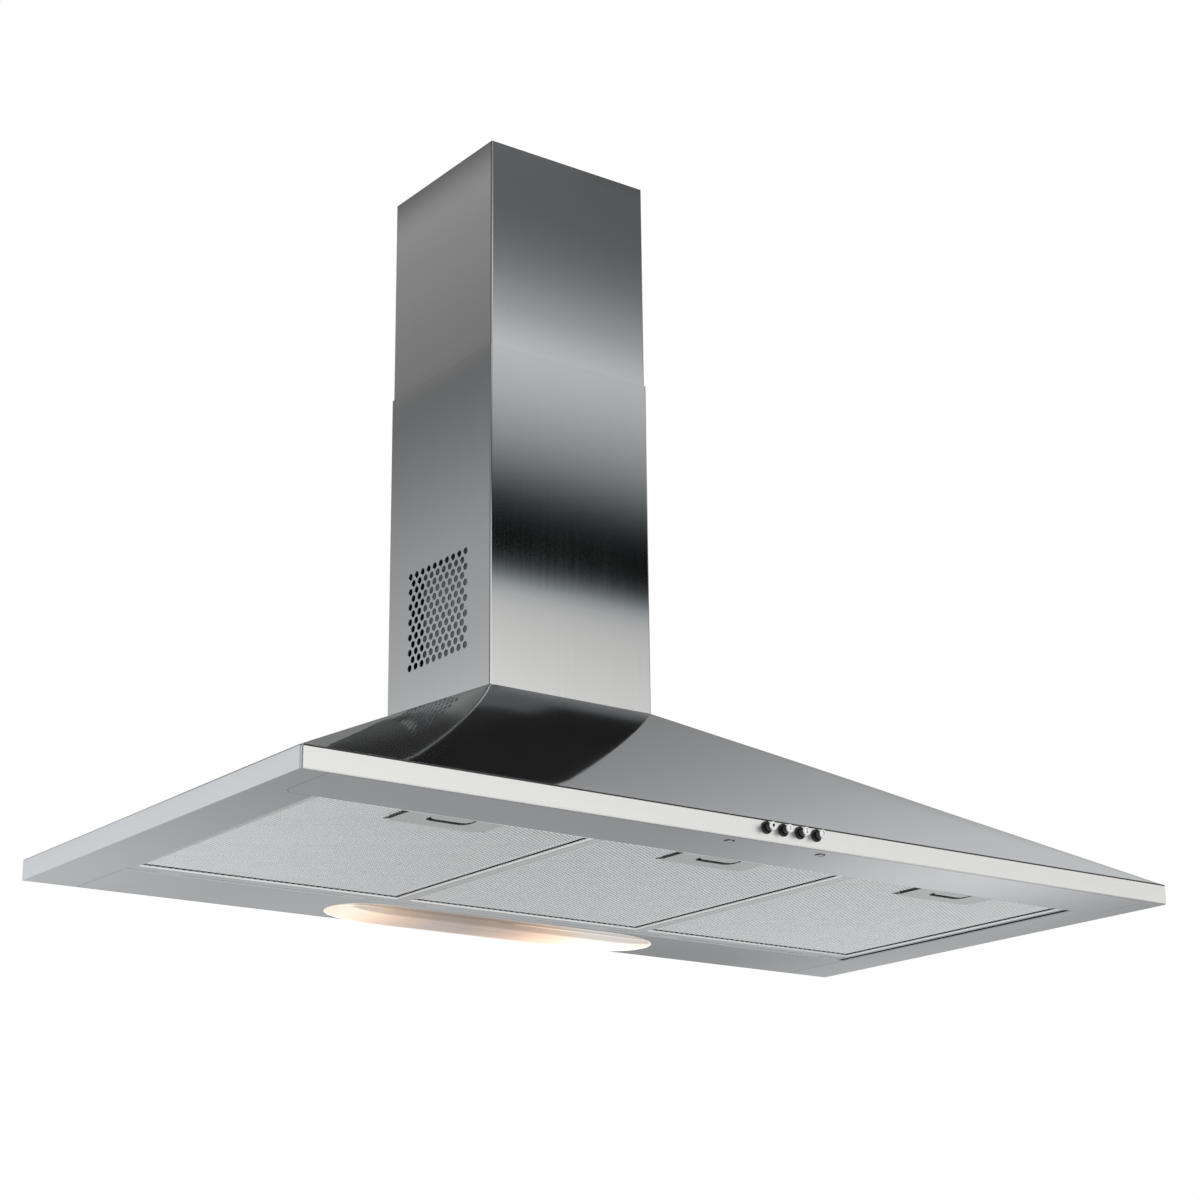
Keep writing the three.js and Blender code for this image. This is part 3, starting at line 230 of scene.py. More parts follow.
card("front_card", "X", (2, -3, 2), 8, 6, FRONT_SHADES, FRONT_ACROSS, FRONT_TINTS)
card("black_flag", "X", (3.32, -2.9, 3.2), 2, 2, BLACK_FLAG_SHADES)
card("side_flag", "X", (2.185, -2.9, 3.3), 0.27, 1.8, SIDE_FLAG_SHADES)
card("left_card", "Y", (-3, 2.5, 2), 11, 6, LEFT_SHADES, LEFT_ACROSS, LEFT_TINTS)
card("right_card", "Y", (7.5, 1, 2), 8, 6, LEFT_SHADES)
card("back_card", "X", (3.9, 2.5, 2.5), 7, 3, BACK_SHADES, BACK_ACROSS)

# Floor: a pale floor to the eye, with one large card on it for the mirror finishes. Near the
# hood the card is bright with a black field to the right, so that the foil glitters; beyond
# them is a drifting grey, which is what the flat sheets underneath mirror.
FLOOR_LEVEL = -1.5


def floor_glow(place):
    x, y = place.axis("X"), place.axis("Y")
    along = (x - 2.2) / 3.8  # from the left end of what the sheets mirror to the right end
    rail_side = along.ramp(
        (0.0, 0.36), (0.37, 0.335), (0.46, 0.375), (0.53, 0.47), (0.59, 0.61), (0.66, 0.70), (0.72, 0.77),
        (0.79, 0.71), (0.855, 0.56), (0.92, 0.42), (0.97, 0.34),
    )
    panel_side = along.ramp(
        (0.03, 0.57), (0.10, 0.50), (0.18, 0.47), (0.31, 0.50), (0.39, 0.44), (0.50, 0.39), (0.58, 0.34),
        (0.71, 0.32), (0.76, 0.29), (0.84, 0.34), (0.91, 0.39), (0.97, 0.52),
    )
    # What the rail mirrors lies nearer than what the panel does; the bright board lies nearest.
    to_panel = ((y - 4.4) / 1.5).ramp((0.0, 0.0), (1.0, 1.0))
    near = (y - 2.0).ramp((0.0, 1.0), (1.0, 0.0))
    black_x = ((x - 1.7) / 4.0).ramp((0.0, 0.0), (0.15, 1.0), (0.9, 1.0), (1.0, 0.0))
    black_y = ((y + 2.5) / 5.0).ramp((0.0, 0.0), (0.15, 1.0), (0.85, 1.0), (0.95, 0.0))
    board = 0.74 - black_x * black_y * 0.73
    return (rail_side * (1 - to_panel) + panel_side * to_panel) * (1 - near) + board * near


floor_card = fresh(
    "floor_card", bpy.ops.mesh.primitive_grid_add, size=24, location=(4, 2, FLOOR_LEVEL + 0.01)
)
backdrop(floor_card, shine("floor card", floor_glow))

floor = fresh("floor", bpy.ops.mesh.primitive_grid_add, size=40, location=(0, 0, FLOOR_LEVEL))
pale = bpy.data.materials.new("pale floor")
pale.use_nodes = True
pale_shader = pale.node_tree.nodes["Principled BSDF"]
pale_shader.inputs["Base Color"].default_value = (0.8, 0.8, 0.8, 1)
pale_shader.inputs["Roughness"].default_value = 0.9
floor.data.materials.append(pale)

# Light: a white sky, weaker for plain surfaces than for the eye and for mirrors, and two large
# lamps in front of the hood, one above it and one below, that no mirror shows.
SKY_STRENGTH = 0.58
world = bpy.data.worlds.new("studio")
bpy.context.scene.world = world
world.use_nodes = True
sky = Tone(world.node_tree)
seen = sum(
    (sky.node("LightPath", {}, {}, f"Is {kind} Ray") for kind in ("Glossy", "Transmission")),
    sky.node("LightPath", {}, {}, "Is Camera Ray"),
)
strength = SKY_STRENGTH + (1 - SKY_STRENGTH) * (seen > 0.5)
background = world.node_tree.nodes["Background"]
world.node_tree.links.new(strength.socket, background.inputs["Strength"])
background.inputs["Color"].default_value = (1, 1, 1, 1)

LAMPS_AIM = Vector((0, -0.2, 0))
for name, spot, size, power in (
    ("key lamp", (-1.8, -2.2, 1.6), 1.6, 26),
    ("fill lamp", (1.8, -2.4, -0.6), 1.8, 14),
):
    light = bpy.data.lights.new(name, "AREA")
    light.size, light.energy = size, power
    lamp = bpy.data.objects.new(name, light)
    bpy.context.collection.objects.link(lamp)
    lamp.location = spot
    lamp.rotation_euler = (LAMPS_AIM - Vector(spot)).to_track_quat("-Z", "Y").to_euler()
    lamp.visible_glossy = lamp.visible_transmission = False


# Canopy: satin stainless sheet, 1 mm, folded up in a brake. An upright band carries three
# slopes and a plumb back; the wide front slope crowns a few millimetres, so that what it
# mirrors is curved. A collar for the chimney is folded up round the hole on top.
UNDER, BAND, SEAT = -0.120, -0.102, 0.070  # levels of the underside, the band's top and the seat
HALF_WIDTH, SEAT_HALF = 0.450, 0.092
FRONT_WALL, SEAT_FRONT = -0.4685, -0.1755
SHEET, FOLD = 0.001, 0.0012
COLLAR_HEIGHT = 0.014
CROWN, CROWN_CUTS = 0.0046, 36  # how far the front slope stands out in its middle
OPENING_HALF, OPENING_FRONT = 0.400, -0.4675
RAIL_HALF, RAIL_BACK, RAIL_ROUND = 0.426, -0.400, 0.012
GAP = 0.0003  # between sheets that lie side by side
HANGING_HOLES, HANGING_HOLE_RADIUS = (-0.110, 0.110), 0.0045


def choose(piece, kind, test):
    """Opens a piece in edit mode with those of its vertices, edges or faces selected that pass."""
    bpy.ops.object.select_all(action="DESELECT")
    piece.select_set(True)
    bpy.context.view_layer.objects.active = piece
    bpy.ops.object.mode_set(mode="EDIT")
    bpy.ops.mesh.select_mode(type=kind)
    bpy.ops.mesh.select_all(action="DESELECT")
    bpy.ops.object.mode_set(mode="OBJECT")
    mesh = piece.data
    if kind == "FACE":
        for face in mesh.polygons:
            face.select = bool(test(face.center, face.normal))
    elif kind == "EDGE":
        for edge in mesh.edges:
            start, end = (mesh.vertices[i].co for i in edge.vertices)
            edge.select = bool(test((start + end) / 2, (end - start).normalized()))
    else:
        for point in mesh.vertices:
            point.select = bool(test(point.co, point.normal))
    bpy.ops.object.mode_set(mode="EDIT")


def close():
    bpy.ops.object.mode_set(mode="OBJECT")


def modify(piece, kind, **settings):
    """Adds a modifier to a piece and applies it."""
    modifier = piece.modifiers.new(kind.lower(), kind)
    for key, value in settings.items():
        setattr(modifier, key, value)
    bpy.context.view_layer.objects.active = piece
    bpy.ops.object.modifier_apply(modifier=modifier.name)


def cut(piece, *cutters, operation="DIFFERENCE"):
    """Cuts the cutters out of a piece one by one, and deletes them."""
    for cutter in cutters:
        modify(piece, "BOOLEAN", object=cutter, operation=operation, solver="EXACT")
        bpy.data.objects.remove(cutter)


def add_on(piece, part):
    """Makes a part one with a piece."""
    cut(piece, part, operation="UNION")


def block(name, low, high):
    """A box between two corners."""
    low, high = Vector(low), Vector(high)
    return fresh(name, bpy.ops.mesh.primitive_cube_add, size=1, location=(low + high) / 2, scale=high - low)


def pin(name, axis, radius, start, end, centre, sides=32):
    """A round bar along an axis from start to end, at the centre given for the other two axes."""
    tilt = {"X": (0, QUARTER_TURN, 0), "Y": (QUARTER_TURN, 0, 0), "Z": (0, 0, 0)}[axis]
    spot = list(centre)
    spot.insert("XYZ".index(axis), (start + end) / 2)
    return fresh(
        name, bpy.ops.mesh.primitive_cylinder_add, vertices=sides, radius=radius,
        depth=abs(end - start), location=spot, rotation=tilt,
    )


def round_edges(piece, test, width, segments=3):
    """Rounds the edges that pass."""
    choose(piece, "EDGE", test)
    bpy.ops.mesh.bevel(offset=width, segments=segments, affect="EDGES")
    close()


def smooth(piece, angle=35):
    """Smooth shading that leaves flat sheet flat beside its rounded edges."""
    bpy.ops.object.select_all(action="DESELECT")
    piece.select_set(True)
    bpy.context.view_layer.objects.active = piece
    bpy.ops.object.shade_smooth_by_angle(angle=math.radians(angle))
    modify(piece, "WEIGHTED_NORMAL", keep_sharp=True, weight=100)


def put_on(piece, body, slot, material, *nodes):
    """Gives a finished piece its material, the body it moves with and the nodes it stands for."""
    piece.data.materials.clear()
    piece.data.materials.append(material)
    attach(piece, body)
    if nodes:
        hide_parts(*nodes)


def finish(name, plain, varied):
    """A Principled material: plain values by socket, and varied ones from the piece's coordinates."""
    material = bpy.data.materials.new(name)
    material.use_nodes = True
    tree = material.node_tree
    shader = tree.nodes["Principled BSDF"]
    for key, value in plain.items():
        shader.inputs[key].default_value = value
    place = Tone(tree).node("TexCoord", {}, {}, "Object")
    for key, value in varied(place).items():
        tree.links.new(value.socket, shader.inputs[key])
    return material


def brushed(name, light, dark, roughness, along, lines=900):
    """Satin metal with its grain along one axis: fine lines, faint drifts of tone, soft smudges."""
    stretch = tuple(0.012 if letter == along else 1 for letter in "XYZ")

    def varied(place):
        grain = place.noise(lines, stretch, 3.0, 0.6)
        drift = place.noise(9, detail=3.0)
        bump = place.node("Bump", {}, {"Strength": 0.25, "Distance": 0.000004, "Height": grain})
        return {
            "Base Color": (grain * 0.55 + drift * 0.45).colours(dark, light),
            "Roughness": grain * 0.03 + drift * 0.02 + (roughness - 0.025),
            "Normal": bump,
        }

    return finish(name, {"Metallic": 1.0}, varied)


canopy = block("canopy", (-HALF_WIDTH, FRONT_WALL, UNDER), (HALF_WIDTH, 0, BAND))
choose(canopy, "FACE", lambda at, to: to.z > 0.9)
bpy.ops.mesh.extrude_region_move(TRANSFORM_OT_translate={"value": (0, 0, SEAT - BAND)})
bpy.ops.transform.resize(
    value=(SEAT_HALF / HALF_WIDTH, SEAT_FRONT / FRONT_WALL, 1), center_override=(0, 0, SEAT)
)
bpy.ops.mesh.inset(thickness=0.0016)
bpy.ops.mesh.extrude_region_move(TRANSFORM_OT_translate={"value": (0, 0, COLLAR_HEIGHT)})
bpy.ops.mesh.delete(type="FACE")
close()
round_edges(canopy, lambda at, to: BAND - 0.001 < at.z < SEAT - 0.001 and at.y < -0.001, FOLD, 2)
round_edges(canopy, lambda at, to: at.z < BAND - 0.001 and abs(to.z) > 0.9 and at.y < -0.4, FOLD, 2)
choose(canopy, "FACE", lambda at, to: to.y < -0.1 and to.z > 0.1 and abs(at.x) < 0.01)
bpy.ops.mesh.subdivide(number_cuts=CROWN_CUTS)
close()
run, rise = SEAT_FRONT - FRONT_WALL, SEAT - BAND
outward = Vector((0, -rise, run)).normalized()
for point in canopy.data.vertices:
    share = (point.co.z - BAND) / rise
    if 0.004 < share < 0.996 and point.co.y < -0.001:
        along = (point.co.y - FRONT_WALL) / run
        if abs(along - share) < 0.004:
            edge = abs(point.co.x) / (HALF_WIDTH + (SEAT_HALF - HALF_WIDTH) * share)
            point.co += outward * CROWN * 4 * share * (1 - share) * max(0, 1 - edge**10)
modify(canopy, "SOLIDIFY", thickness=SHEET, offset=-1, use_even_offset=True)
low, high = (-OPENING_HALF, OPENING_FRONT, UNDER - 0.01), (OPENING_HALF, -0.001, UNDER + 0.003)
opening = block("opening", low, high)
half = RAIL_HALF + GAP
low, high = (-half, OPENING_FRONT, UNDER - 0.01), (half, RAIL_BACK + GAP, UNDER + 0.003)
rail_seat = block("rail_seat", low, high)
round_edges(rail_seat, lambda at, to: abs(to.z) > 0.9 and at.y > -0.41, RAIL_ROUND + GAP, 6)
cut(canopy, opening, rail_seat)
for x in HANGING_HOLES:
    cut(canopy, pin("hole", "Y", HANGING_HOLE_RADIUS, -0.004, 0.004, (x, 0)))
smooth(canopy, 25)
canopy_steel = brushed("canopy steel", (0.73, 0.75, 0.77), (0.66, 0.68, 0.70), 0.06, "X")
put_on(canopy, "root", "canopy_steel", canopy_steel, "canopy_shell")

# Front fascia: a strip of pale satin stainless with rounded upright ends, clipped over the
# canopy's front wall. The buttons come through four holes in it.
BUTTONS = {"light": -0.0224, "speed_1": -0.0048, "speed_2": 0.0128, "speed_3": 0.0304}
BUTTON_LEVEL, BUTTON_HOLE_RADIUS = -0.109, 0.0045
FASCIA_HALF, FASCIA_FRONT, FASCIA_BACK = 0.449, -0.470, -0.4688
STEP_FRONT = -0.4693  # a step cut back along the fascia's top edge

fascia = block("fascia", (-FASCIA_HALF, FASCIA_FRONT, UNDER), (FASCIA_HALF, FASCIA_BACK, BAND))
round_edges(fascia, lambda at, to: at.y < -0.4695 and abs(to.z) > 0.9, 0.0009, 4)
round_edges(fascia, lambda at, to: at.y < -0.4695 and abs(to.x) > 0.9, 0.0008, 3)
for x in BUTTONS.values():
    cut(fascia, pin("hole", "Y", BUTTON_HOLE_RADIUS, -0.48, -0.46, (x, BUTTON_LEVEL)))
cut(fascia, block("step", (-0.46, -0.48, BAND - 0.0015), (0.46, STEP_FRONT, BAND + 0.001)))
smooth(fascia)
fascia_steel = brushed("fascia steel", (0.94, 0.94, 0.935), (0.87, 0.875, 0.87), 0.36, "X")
put_on(fascia, "root", "fascia_steel", fascia_steel, "front_fascia")

# Chimney covers: two sleeves of satin stainless, 0.8 mm, folded round the duct with their
# edges turned in along the wall. The lower one is slotted over the canopy's collar and has
# a punched grille in both sides; the upper one slides out of it.
WALL = 0.0008
BEND_RADIUS = 0.0018
TURNED_IN = 0.015
GRILLE_BACK, GRILLE_LOW = -0.0395, 0.117  # middle of the lowest, rearmost hole
GRILLE_HOLE_RADIUS, GRILLE_STEP, GRILLE_RISE = 0.0035, 0.0105, 0.01512
CHIMNEY_FOOT = 0.0703


def sleeve(name, half, front, back, low, high):
    """An upright cover with softly bent corners, open above and below, its edges turned in behind."""
    cover = block(name, (-half, front, low), (half, back, high))
    round_edges(cover, lambda at, to: abs(to.z) > 0.9, BEND_RADIUS, 4)
    choose(cover, "FACE", lambda at, to: abs(to.z) > 0.9)
    bpy.ops.mesh.delete(type="FACE")
    close()
    modify(cover, "SOLIDIFY", thickness=WALL, offset=-1, use_even_offset=True)
    gap_half = half - TURNED_IN
    cut(cover, block("rear", (-gap_half, back - 0.004, low - 0.01), (gap_half, back + 0.01, high + 0.01)))
    return cover


def repeat(piece, count, step):
    """Sets copies of a piece in a row, each a step on from the last, and makes them one with it."""
    modify(piece, "ARRAY", count=count, use_relative_offset=False, use_constant_offset=True,
           constant_offset_displace=step)


lower = sleeve("chimney_lower", 0.0915, -0.175, 0, CHIMNEY_FOOT, 0.402)
punches = []
for along, up, shift in ((10, 7, 0), (9, 6, 0.5)):
    first_hole = (GRILLE_BACK - shift * GRILLE_STEP, GRILLE_LOW + shift * GRILLE_RISE)
    punch = pin("punch", "X", GRILLE_HOLE_RADIUS, -0.1, 0.1, first_hole, 14)
    repeat(punch, along, (0, -GRILLE_STEP, 0))
    repeat(punch, up, (0, 0, GRILLE_RISE))
    punches.append(punch)
cut(lower, *punches)
smooth(lower)
chimney_steel = brushed("chimney steel", (0.745, 0.75, 0.76), (0.675, 0.68, 0.69), 0.06, "Z")
put_on(lower, "root", "chimney_steel", chimney_steel, "lower_chimney")

upper = sleeve("chimney_upper", 0.0904, -0.1739, -0.0011, 0.280, 0.615)
smooth(upper)
# A lighter copy of the chimney steel: painted light, so that the upper cover shows brighter above the seam.
upper_steel_painted_lighter = brushed("upper chimney steel", (0.765, 0.775, 0.78), (0.705, 0.715, 0.72), 0.06, "Z")
put_on(upper, "upper_cover", "chimney_steel", upper_steel_painted_lighter, "upper_chimney")


# Rear shade sheet: a thin sheet of black plastic that stands in the back of the collar, between the blower
# and the wall. It is painted shade for the rear gap, so that the grille shows dark there.
def moulded(name, low, high, roughness):
    """Moulded plastic: a fine grain in the gloss and a faint drift of tone."""
    def varied(place):
        grain = place.noise(1400, detail=2.0)
        drift = place.noise(30, detail=2.0)
        return {
            "Base Color": drift.colours(low, high),
            "Roughness": grain * 0.12 + (roughness - 0.06),
            "Normal": place.node("Bump", {}, {"Strength": 0.15, "Distance": 0.00003, "Height": grain}),
        }

    return finish(name, {}, varied)


black = moulded("black plastic", (0.007, 0.007, 0.008), (0.014, 0.014, 0.016), 0.16)
shade_sheet = block("rear_shade_sheet", (-0.0864, -0.0039, CHIMNEY_FOOT), (0.0864, -0.0024, 0.270))
round_edges(shade_sheet, lambda at, to: abs(to.y) > 0.9 and at.z > 0.26, 0.008, 6)
smooth(shade_sheet)
put_on(shade_sheet, "root", "black_plastic", black)

# Fascia shade strip: a strip of black plastic pressed into the step along the fascia's top edge, where it
# meets the canopy's slope. It is painted shade: from below it shows as the thin dark line of the gap there.
shade_strip = block("fascia_shade_strip", (-0.4484, -0.4699, BAND - 0.0014), (0.4484, STEP_FRONT, BAND - 0.0001))
round_edges(shade_strip, lambda at, to: at.y < -0.4698 and abs(to.x) > 0.9, 0.0002, 2)
smooth(shade_strip)
put_on(shade_strip, "root", "black_plastic", black)

# Underside sheets: the front rail and the lamp panel, both of the canopy's steel, with an
# upturned lip along the filters. The rail's rear corners are rounded off.
PANEL_HALF, PANEL_FRONT = OPENING_HALF - GAP, -0.087
LIP_TOP = UNDER + 0.013
FILTERS = {"left": -0.2655, "centre": 0.0, "right": 0.2655}

rail = block("rail", (-RAIL_HALF, OPENING_FRONT + GAP, UNDER), (RAIL_HALF, RAIL_BACK, UNDER + SHEET))
round_edges(rail, lambda at, to: abs(to.z) > 0.9 and at.y > -0.41, RAIL_ROUND, 8)
add_on(rail, block("lip", (-PANEL_HALF, RAIL_BACK - SHEET, UNDER), (PANEL_HALF, RAIL_BACK, LIP_TOP)))
for x in FILTERS.values():
    cut(rail, block("slot", (x - 0.0098, -0.402, -0.1176), (x + 0.0098, -0.398, -0.1136)))
smooth(rail)
put_on(rail, "root", "canopy_steel", canopy_steel, "front_rail")

panel = block("panel", (-PANEL_HALF, PANEL_FRONT, UNDER), (PANEL_HALF, -0.0013, UNDER + SHEET))
round_edges(panel, lambda at, to: at.z < UNDER + 0.0001 and abs(to.y) > 0.9 and at.x > 0, 0.0007, 2)
add_on(panel, block("lip", (-PANEL_HALF, PANEL_FRONT, UNDER), (PANEL_HALF, PANEL_FRONT + SHEET, LIP_TOP)))
window = block("window", (-0.170, -0.062, UNDER - 0.01), (0.180, -0.016, UNDER + 0.01))
round_edges(window, lambda at, to: abs(to.z) > 0.9, 0.0229, 10)
cut(panel, window)
smooth(panel)
put_on(panel, "root", "canopy_steel", canopy_steel, "lamp_panel")


# Rail screws: two small zinc-plated pan heads with a crossed recess for the driver, each in a pressed
# dimple. The dimple is black plastic, open in the middle: painted shade that shows in front of each head
# and behind it. They hold the rail to the switch block.
def turn(name, axis, centre, profile, sides=40):
    """Turns a profile of (place along the axis, radius) as on a lathe, each ring drawn out of the last."""
    least = 1e-5  # the radius that stands for none
    start, radius = profile[0]
    ring = fresh(name, bpy.ops.mesh.primitive_circle_add, vertices=sides, radius=max(radius, least),
                 fill_type="NGON", location=(0, 0, start))
    choose(ring, "FACE", lambda at, to: True)
    for place, following in profile[1:]:
        bpy.ops.mesh.extrude_region_move(TRANSFORM_OT_translate={"value": (0, 0, place - start)})
        grow = max(following, least) / max(radius, least)
        bpy.ops.transform.resize(value=(grow, grow, 1), center_override=(0, 0, place))
        start, radius = place, following
    bpy.ops.mesh.select_all(action="SELECT")
    bpy.ops.mesh.remove_doubles(threshold=least)
    bpy.ops.mesh.normals_make_consistent(inside=False)
    close()
    spin = {
        "X": Matrix.Rotation(QUARTER_TURN, 4, "Y"), "Y": Matrix.Rotation(-QUARTER_TURN, 4, "X"),
        "Z": Matrix.Identity(4),
    }
    spot = list(centre)
    spot.insert("XYZ".index(axis), 0)
    ring.data.transform(Matrix.Translation(spot) @ spin[axis])
    return ring


SCREWS, SCREWS_ALONG = {"left": -0.048, "right": 0.048}, -0.454
zinc = brushed("zinc plate", (0.62, 0.64, 0.66), (0.5, 0.52, 0.54), 0.32, "Z", lines=160)
for side, x in SCREWS.items():
    spot = (x, SCREWS_ALONG)
    screw = turn(f"screw_{side}", "Z", spot, [
        (-0.1150, 0.0015), (-0.1202, 0.0015), (-0.1203, 0.0028), (-0.1207, 0.0027), (-0.1211, 0.0018),
        (-0.1211, 0.0),
    ])
    for wide, deep in ((0.0016, 0.0004), (0.0004, 0.0016)):
        cut(screw, block(
            "recess", (x - wide, SCREWS_ALONG - deep, -0.1215), (x + wide, SCREWS_ALONG + deep, -0.1205)
        ))
    smooth(screw)
    put_on(screw, "root", "galvanised_steel", zinc, f"rail_screw_{side}")

    # A black ring of painted shade for the dimple round the head, cut open in the middle.
    dimple_shade = turn(f"screw_dimple_shade_{side}", "Z", spot, [
        (-0.1199, 0.0029), (-0.1204, 0.0031), (-0.1206, 0.0036), (-0.1204, 0.0043), (-0.1199, 0.0045),
        (-0.1199, 0.0029),
    ])
    cut(dimple_shade, block("open", (x - 0.0021, -0.462, -0.122), (x + 0.0021, -0.446, -0.118)))
    smooth(dimple_shade)
    put_on(dimple_shade, "root", "black_plastic", black)

# Grease filters: a channel of satin aluminium, folded round a pad of expanded foil. The foil
# is slit and drawn into small diamonds, each strand tipped a little, so it glitters in rows.
# Rolled hems run round its edge, just proud of it.
CELL_X, CELL_Y = 0.0062, 0.00415
CELLS_ALONG, CELLS_DEEP = 40, 71
STRAND, STRAND_TIP = 0.00062, 0.00045  # half a strand's width, and how far its edge stands up
FOIL_LEVEL = -0.1161
FOIL_LEFT, FOIL_FRONT = -0.1225, -0.3946  # the first cell, from the filter's middle and the wall
FILTER_HALF, FILTER_FRONT, FILTER_BACK = 0.1312, -0.3979, -0.0891
HEM_RADIUS, HEM_LEVEL, HEM_HALF = 0.0011, -0.1174, 0.1262
HEM_FRONT, HEM_BACK = -0.3936, -0.1000


def soften(name, node):
    """A copy of a solid with its edges broken, as a press leaves them."""
    piece = bpy.data.objects.new(name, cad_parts[node].data.copy())
    bpy.context.collection.objects.link(piece)
    choose(piece, "VERT", lambda at, to: True)
    bpy.ops.mesh.remove_doubles(threshold=1e-6)
    bpy.ops.mesh.dissolve_limited(angle_limit=math.radians(1))
    close()
    modify(piece, "BEVEL", width=0.0004, segments=3, limit_method="ANGLE", angle_limit=math.radians(40))
    smooth(piece, 50)
    return piece


def join(pieces):
    """Makes some pieces one, under the first one's name."""
    bpy.ops.object.select_all(action="DESELECT")
    for piece in pieces:
        piece.select_set(True)
    bpy.context.view_layer.objects.active = pieces[0]
    bpy.ops.object.join()
    return pieces[0]


def foil_look(place):
    drift = place.noise(60, detail=3.0)
    scratch = place.noise(2600, detail=2.0)
    return {
        "Base Color": (drift * 0.5 + scratch * 0.5).colours((0.80, 0.81, 0.82), (0.96, 0.97, 0.98)),
        "Roughness": scratch * 0.16 + 0.14,
        "Normal": place.node("Bump", {}, {"Strength": 0.3, "Distance": 0.00005, "Height": scratch}),
    }


# Painted shade: the pad's colour is near black, for the shade among the foil layers inside the filter. The
# crumple is a random texture and bump.
def shaded_pad_look(place):
    crumple = place.noise(420, (1, 1.5, 1), 4.0, 0.7)
    return {
        "Base Color": crumple.ramp((0.3, 0.02), (0.6, 0.14)),
        "Roughness": crumple * 0.3 + 0.3,
        "Normal": place.node("Bump", {}, {"Strength": 0.8, "Distance": 0.0008, "Height": crumple}),
    }


aluminium = brushed("satin aluminium", (0.86, 0.87, 0.88), (0.78, 0.79, 0.80), 0.26, "Y")
foil = finish("expanded foil", {"Metallic": 0.95}, foil_look)
bright_foil = brushed("rolled hem", (0.98, 0.985, 0.99), (0.94, 0.945, 0.95), 0.2, "X")
shaded_pad_foil = finish("foil pad with painted shade", {"Metallic": 0.7}, shaded_pad_look)
for side, x in FILTERS.items():
    channel = soften(f"filter_channel_{side}", f"filter_frame_{side}")
    put_on(channel, f"filter_{side}", "filter_aluminium", aluminium, f"filter_frame_{side}")

    rows = []
    for shift in (0, 0.5):
        row = fresh(
            f"filter_foil_{side}", bpy.ops.mesh.primitive_circle_add, scale=(CELL_X / 2, CELL_Y / 2, 1),
            location=(x + FOIL_LEFT + shift * CELL_X, FOIL_FRONT + shift * CELL_Y, FOIL_LEVEL),
            vertices=4, radius=1, fill_type="NGON",
        )
        choose(row, "FACE", lambda at, to: True)
        bpy.ops.mesh.inset(thickness=STRAND, depth=STRAND_TIP)
        bpy.ops.mesh.delete(type="FACE")
        close()
        repeat(row, CELLS_ALONG, (CELL_X, 0, 0))
        repeat(row, CELLS_DEEP, (0, CELL_Y, 0))
        rows.append(row)
    net = join(rows)
    net.name = f"filter_foil_{side}"
    choose(net, "FACE", lambda at, to: abs(at.x - x) < 0.0462 and at.y < -0.353)
    bpy.ops.mesh.delete(type="FACE")  # no foil in front of the handle's plate
    close()
    put_on(net, f"filter_{side}", "filter_mesh", foil)

    hems = []
    for y in (HEM_FRONT, HEM_BACK):
        hems.append(pin(
            f"filter_hem_{side}", "X", HEM_RADIUS, x - HEM_HALF, x + HEM_HALF, (y, HEM_LEVEL), 16
        ))
    for across in (-HEM_HALF, HEM_HALF):
        hems.append(pin(
            f"filter_hem_{side}", "Y", HEM_RADIUS, HEM_FRONT, HEM_BACK, (x + across, HEM_LEVEL), 16
        ))
    hem = join(hems)
    smooth(hem)
    put_on(hem, f"filter_{side}", "filter_aluminium", bright_foil)

    # Under the foil, the dark pad of painted shade shows through its holes.
    low, high = (x - FILTER_HALF, FILTER_FRONT, -0.1150), (x + FILTER_HALF, FILTER_BACK, -0.1138)
    pad = block(f"filter_pad_{side}", low, high)
    cut(pad, block("seat", (x - 0.0466, -0.41, -0.12), (x + 0.0448, -0.3562, -0.11)))
    smooth(pad)
    put_on(pad, f"filter_{side}", "filter_mesh", shaded_pad_foil, f"filter_mesh_{side}")
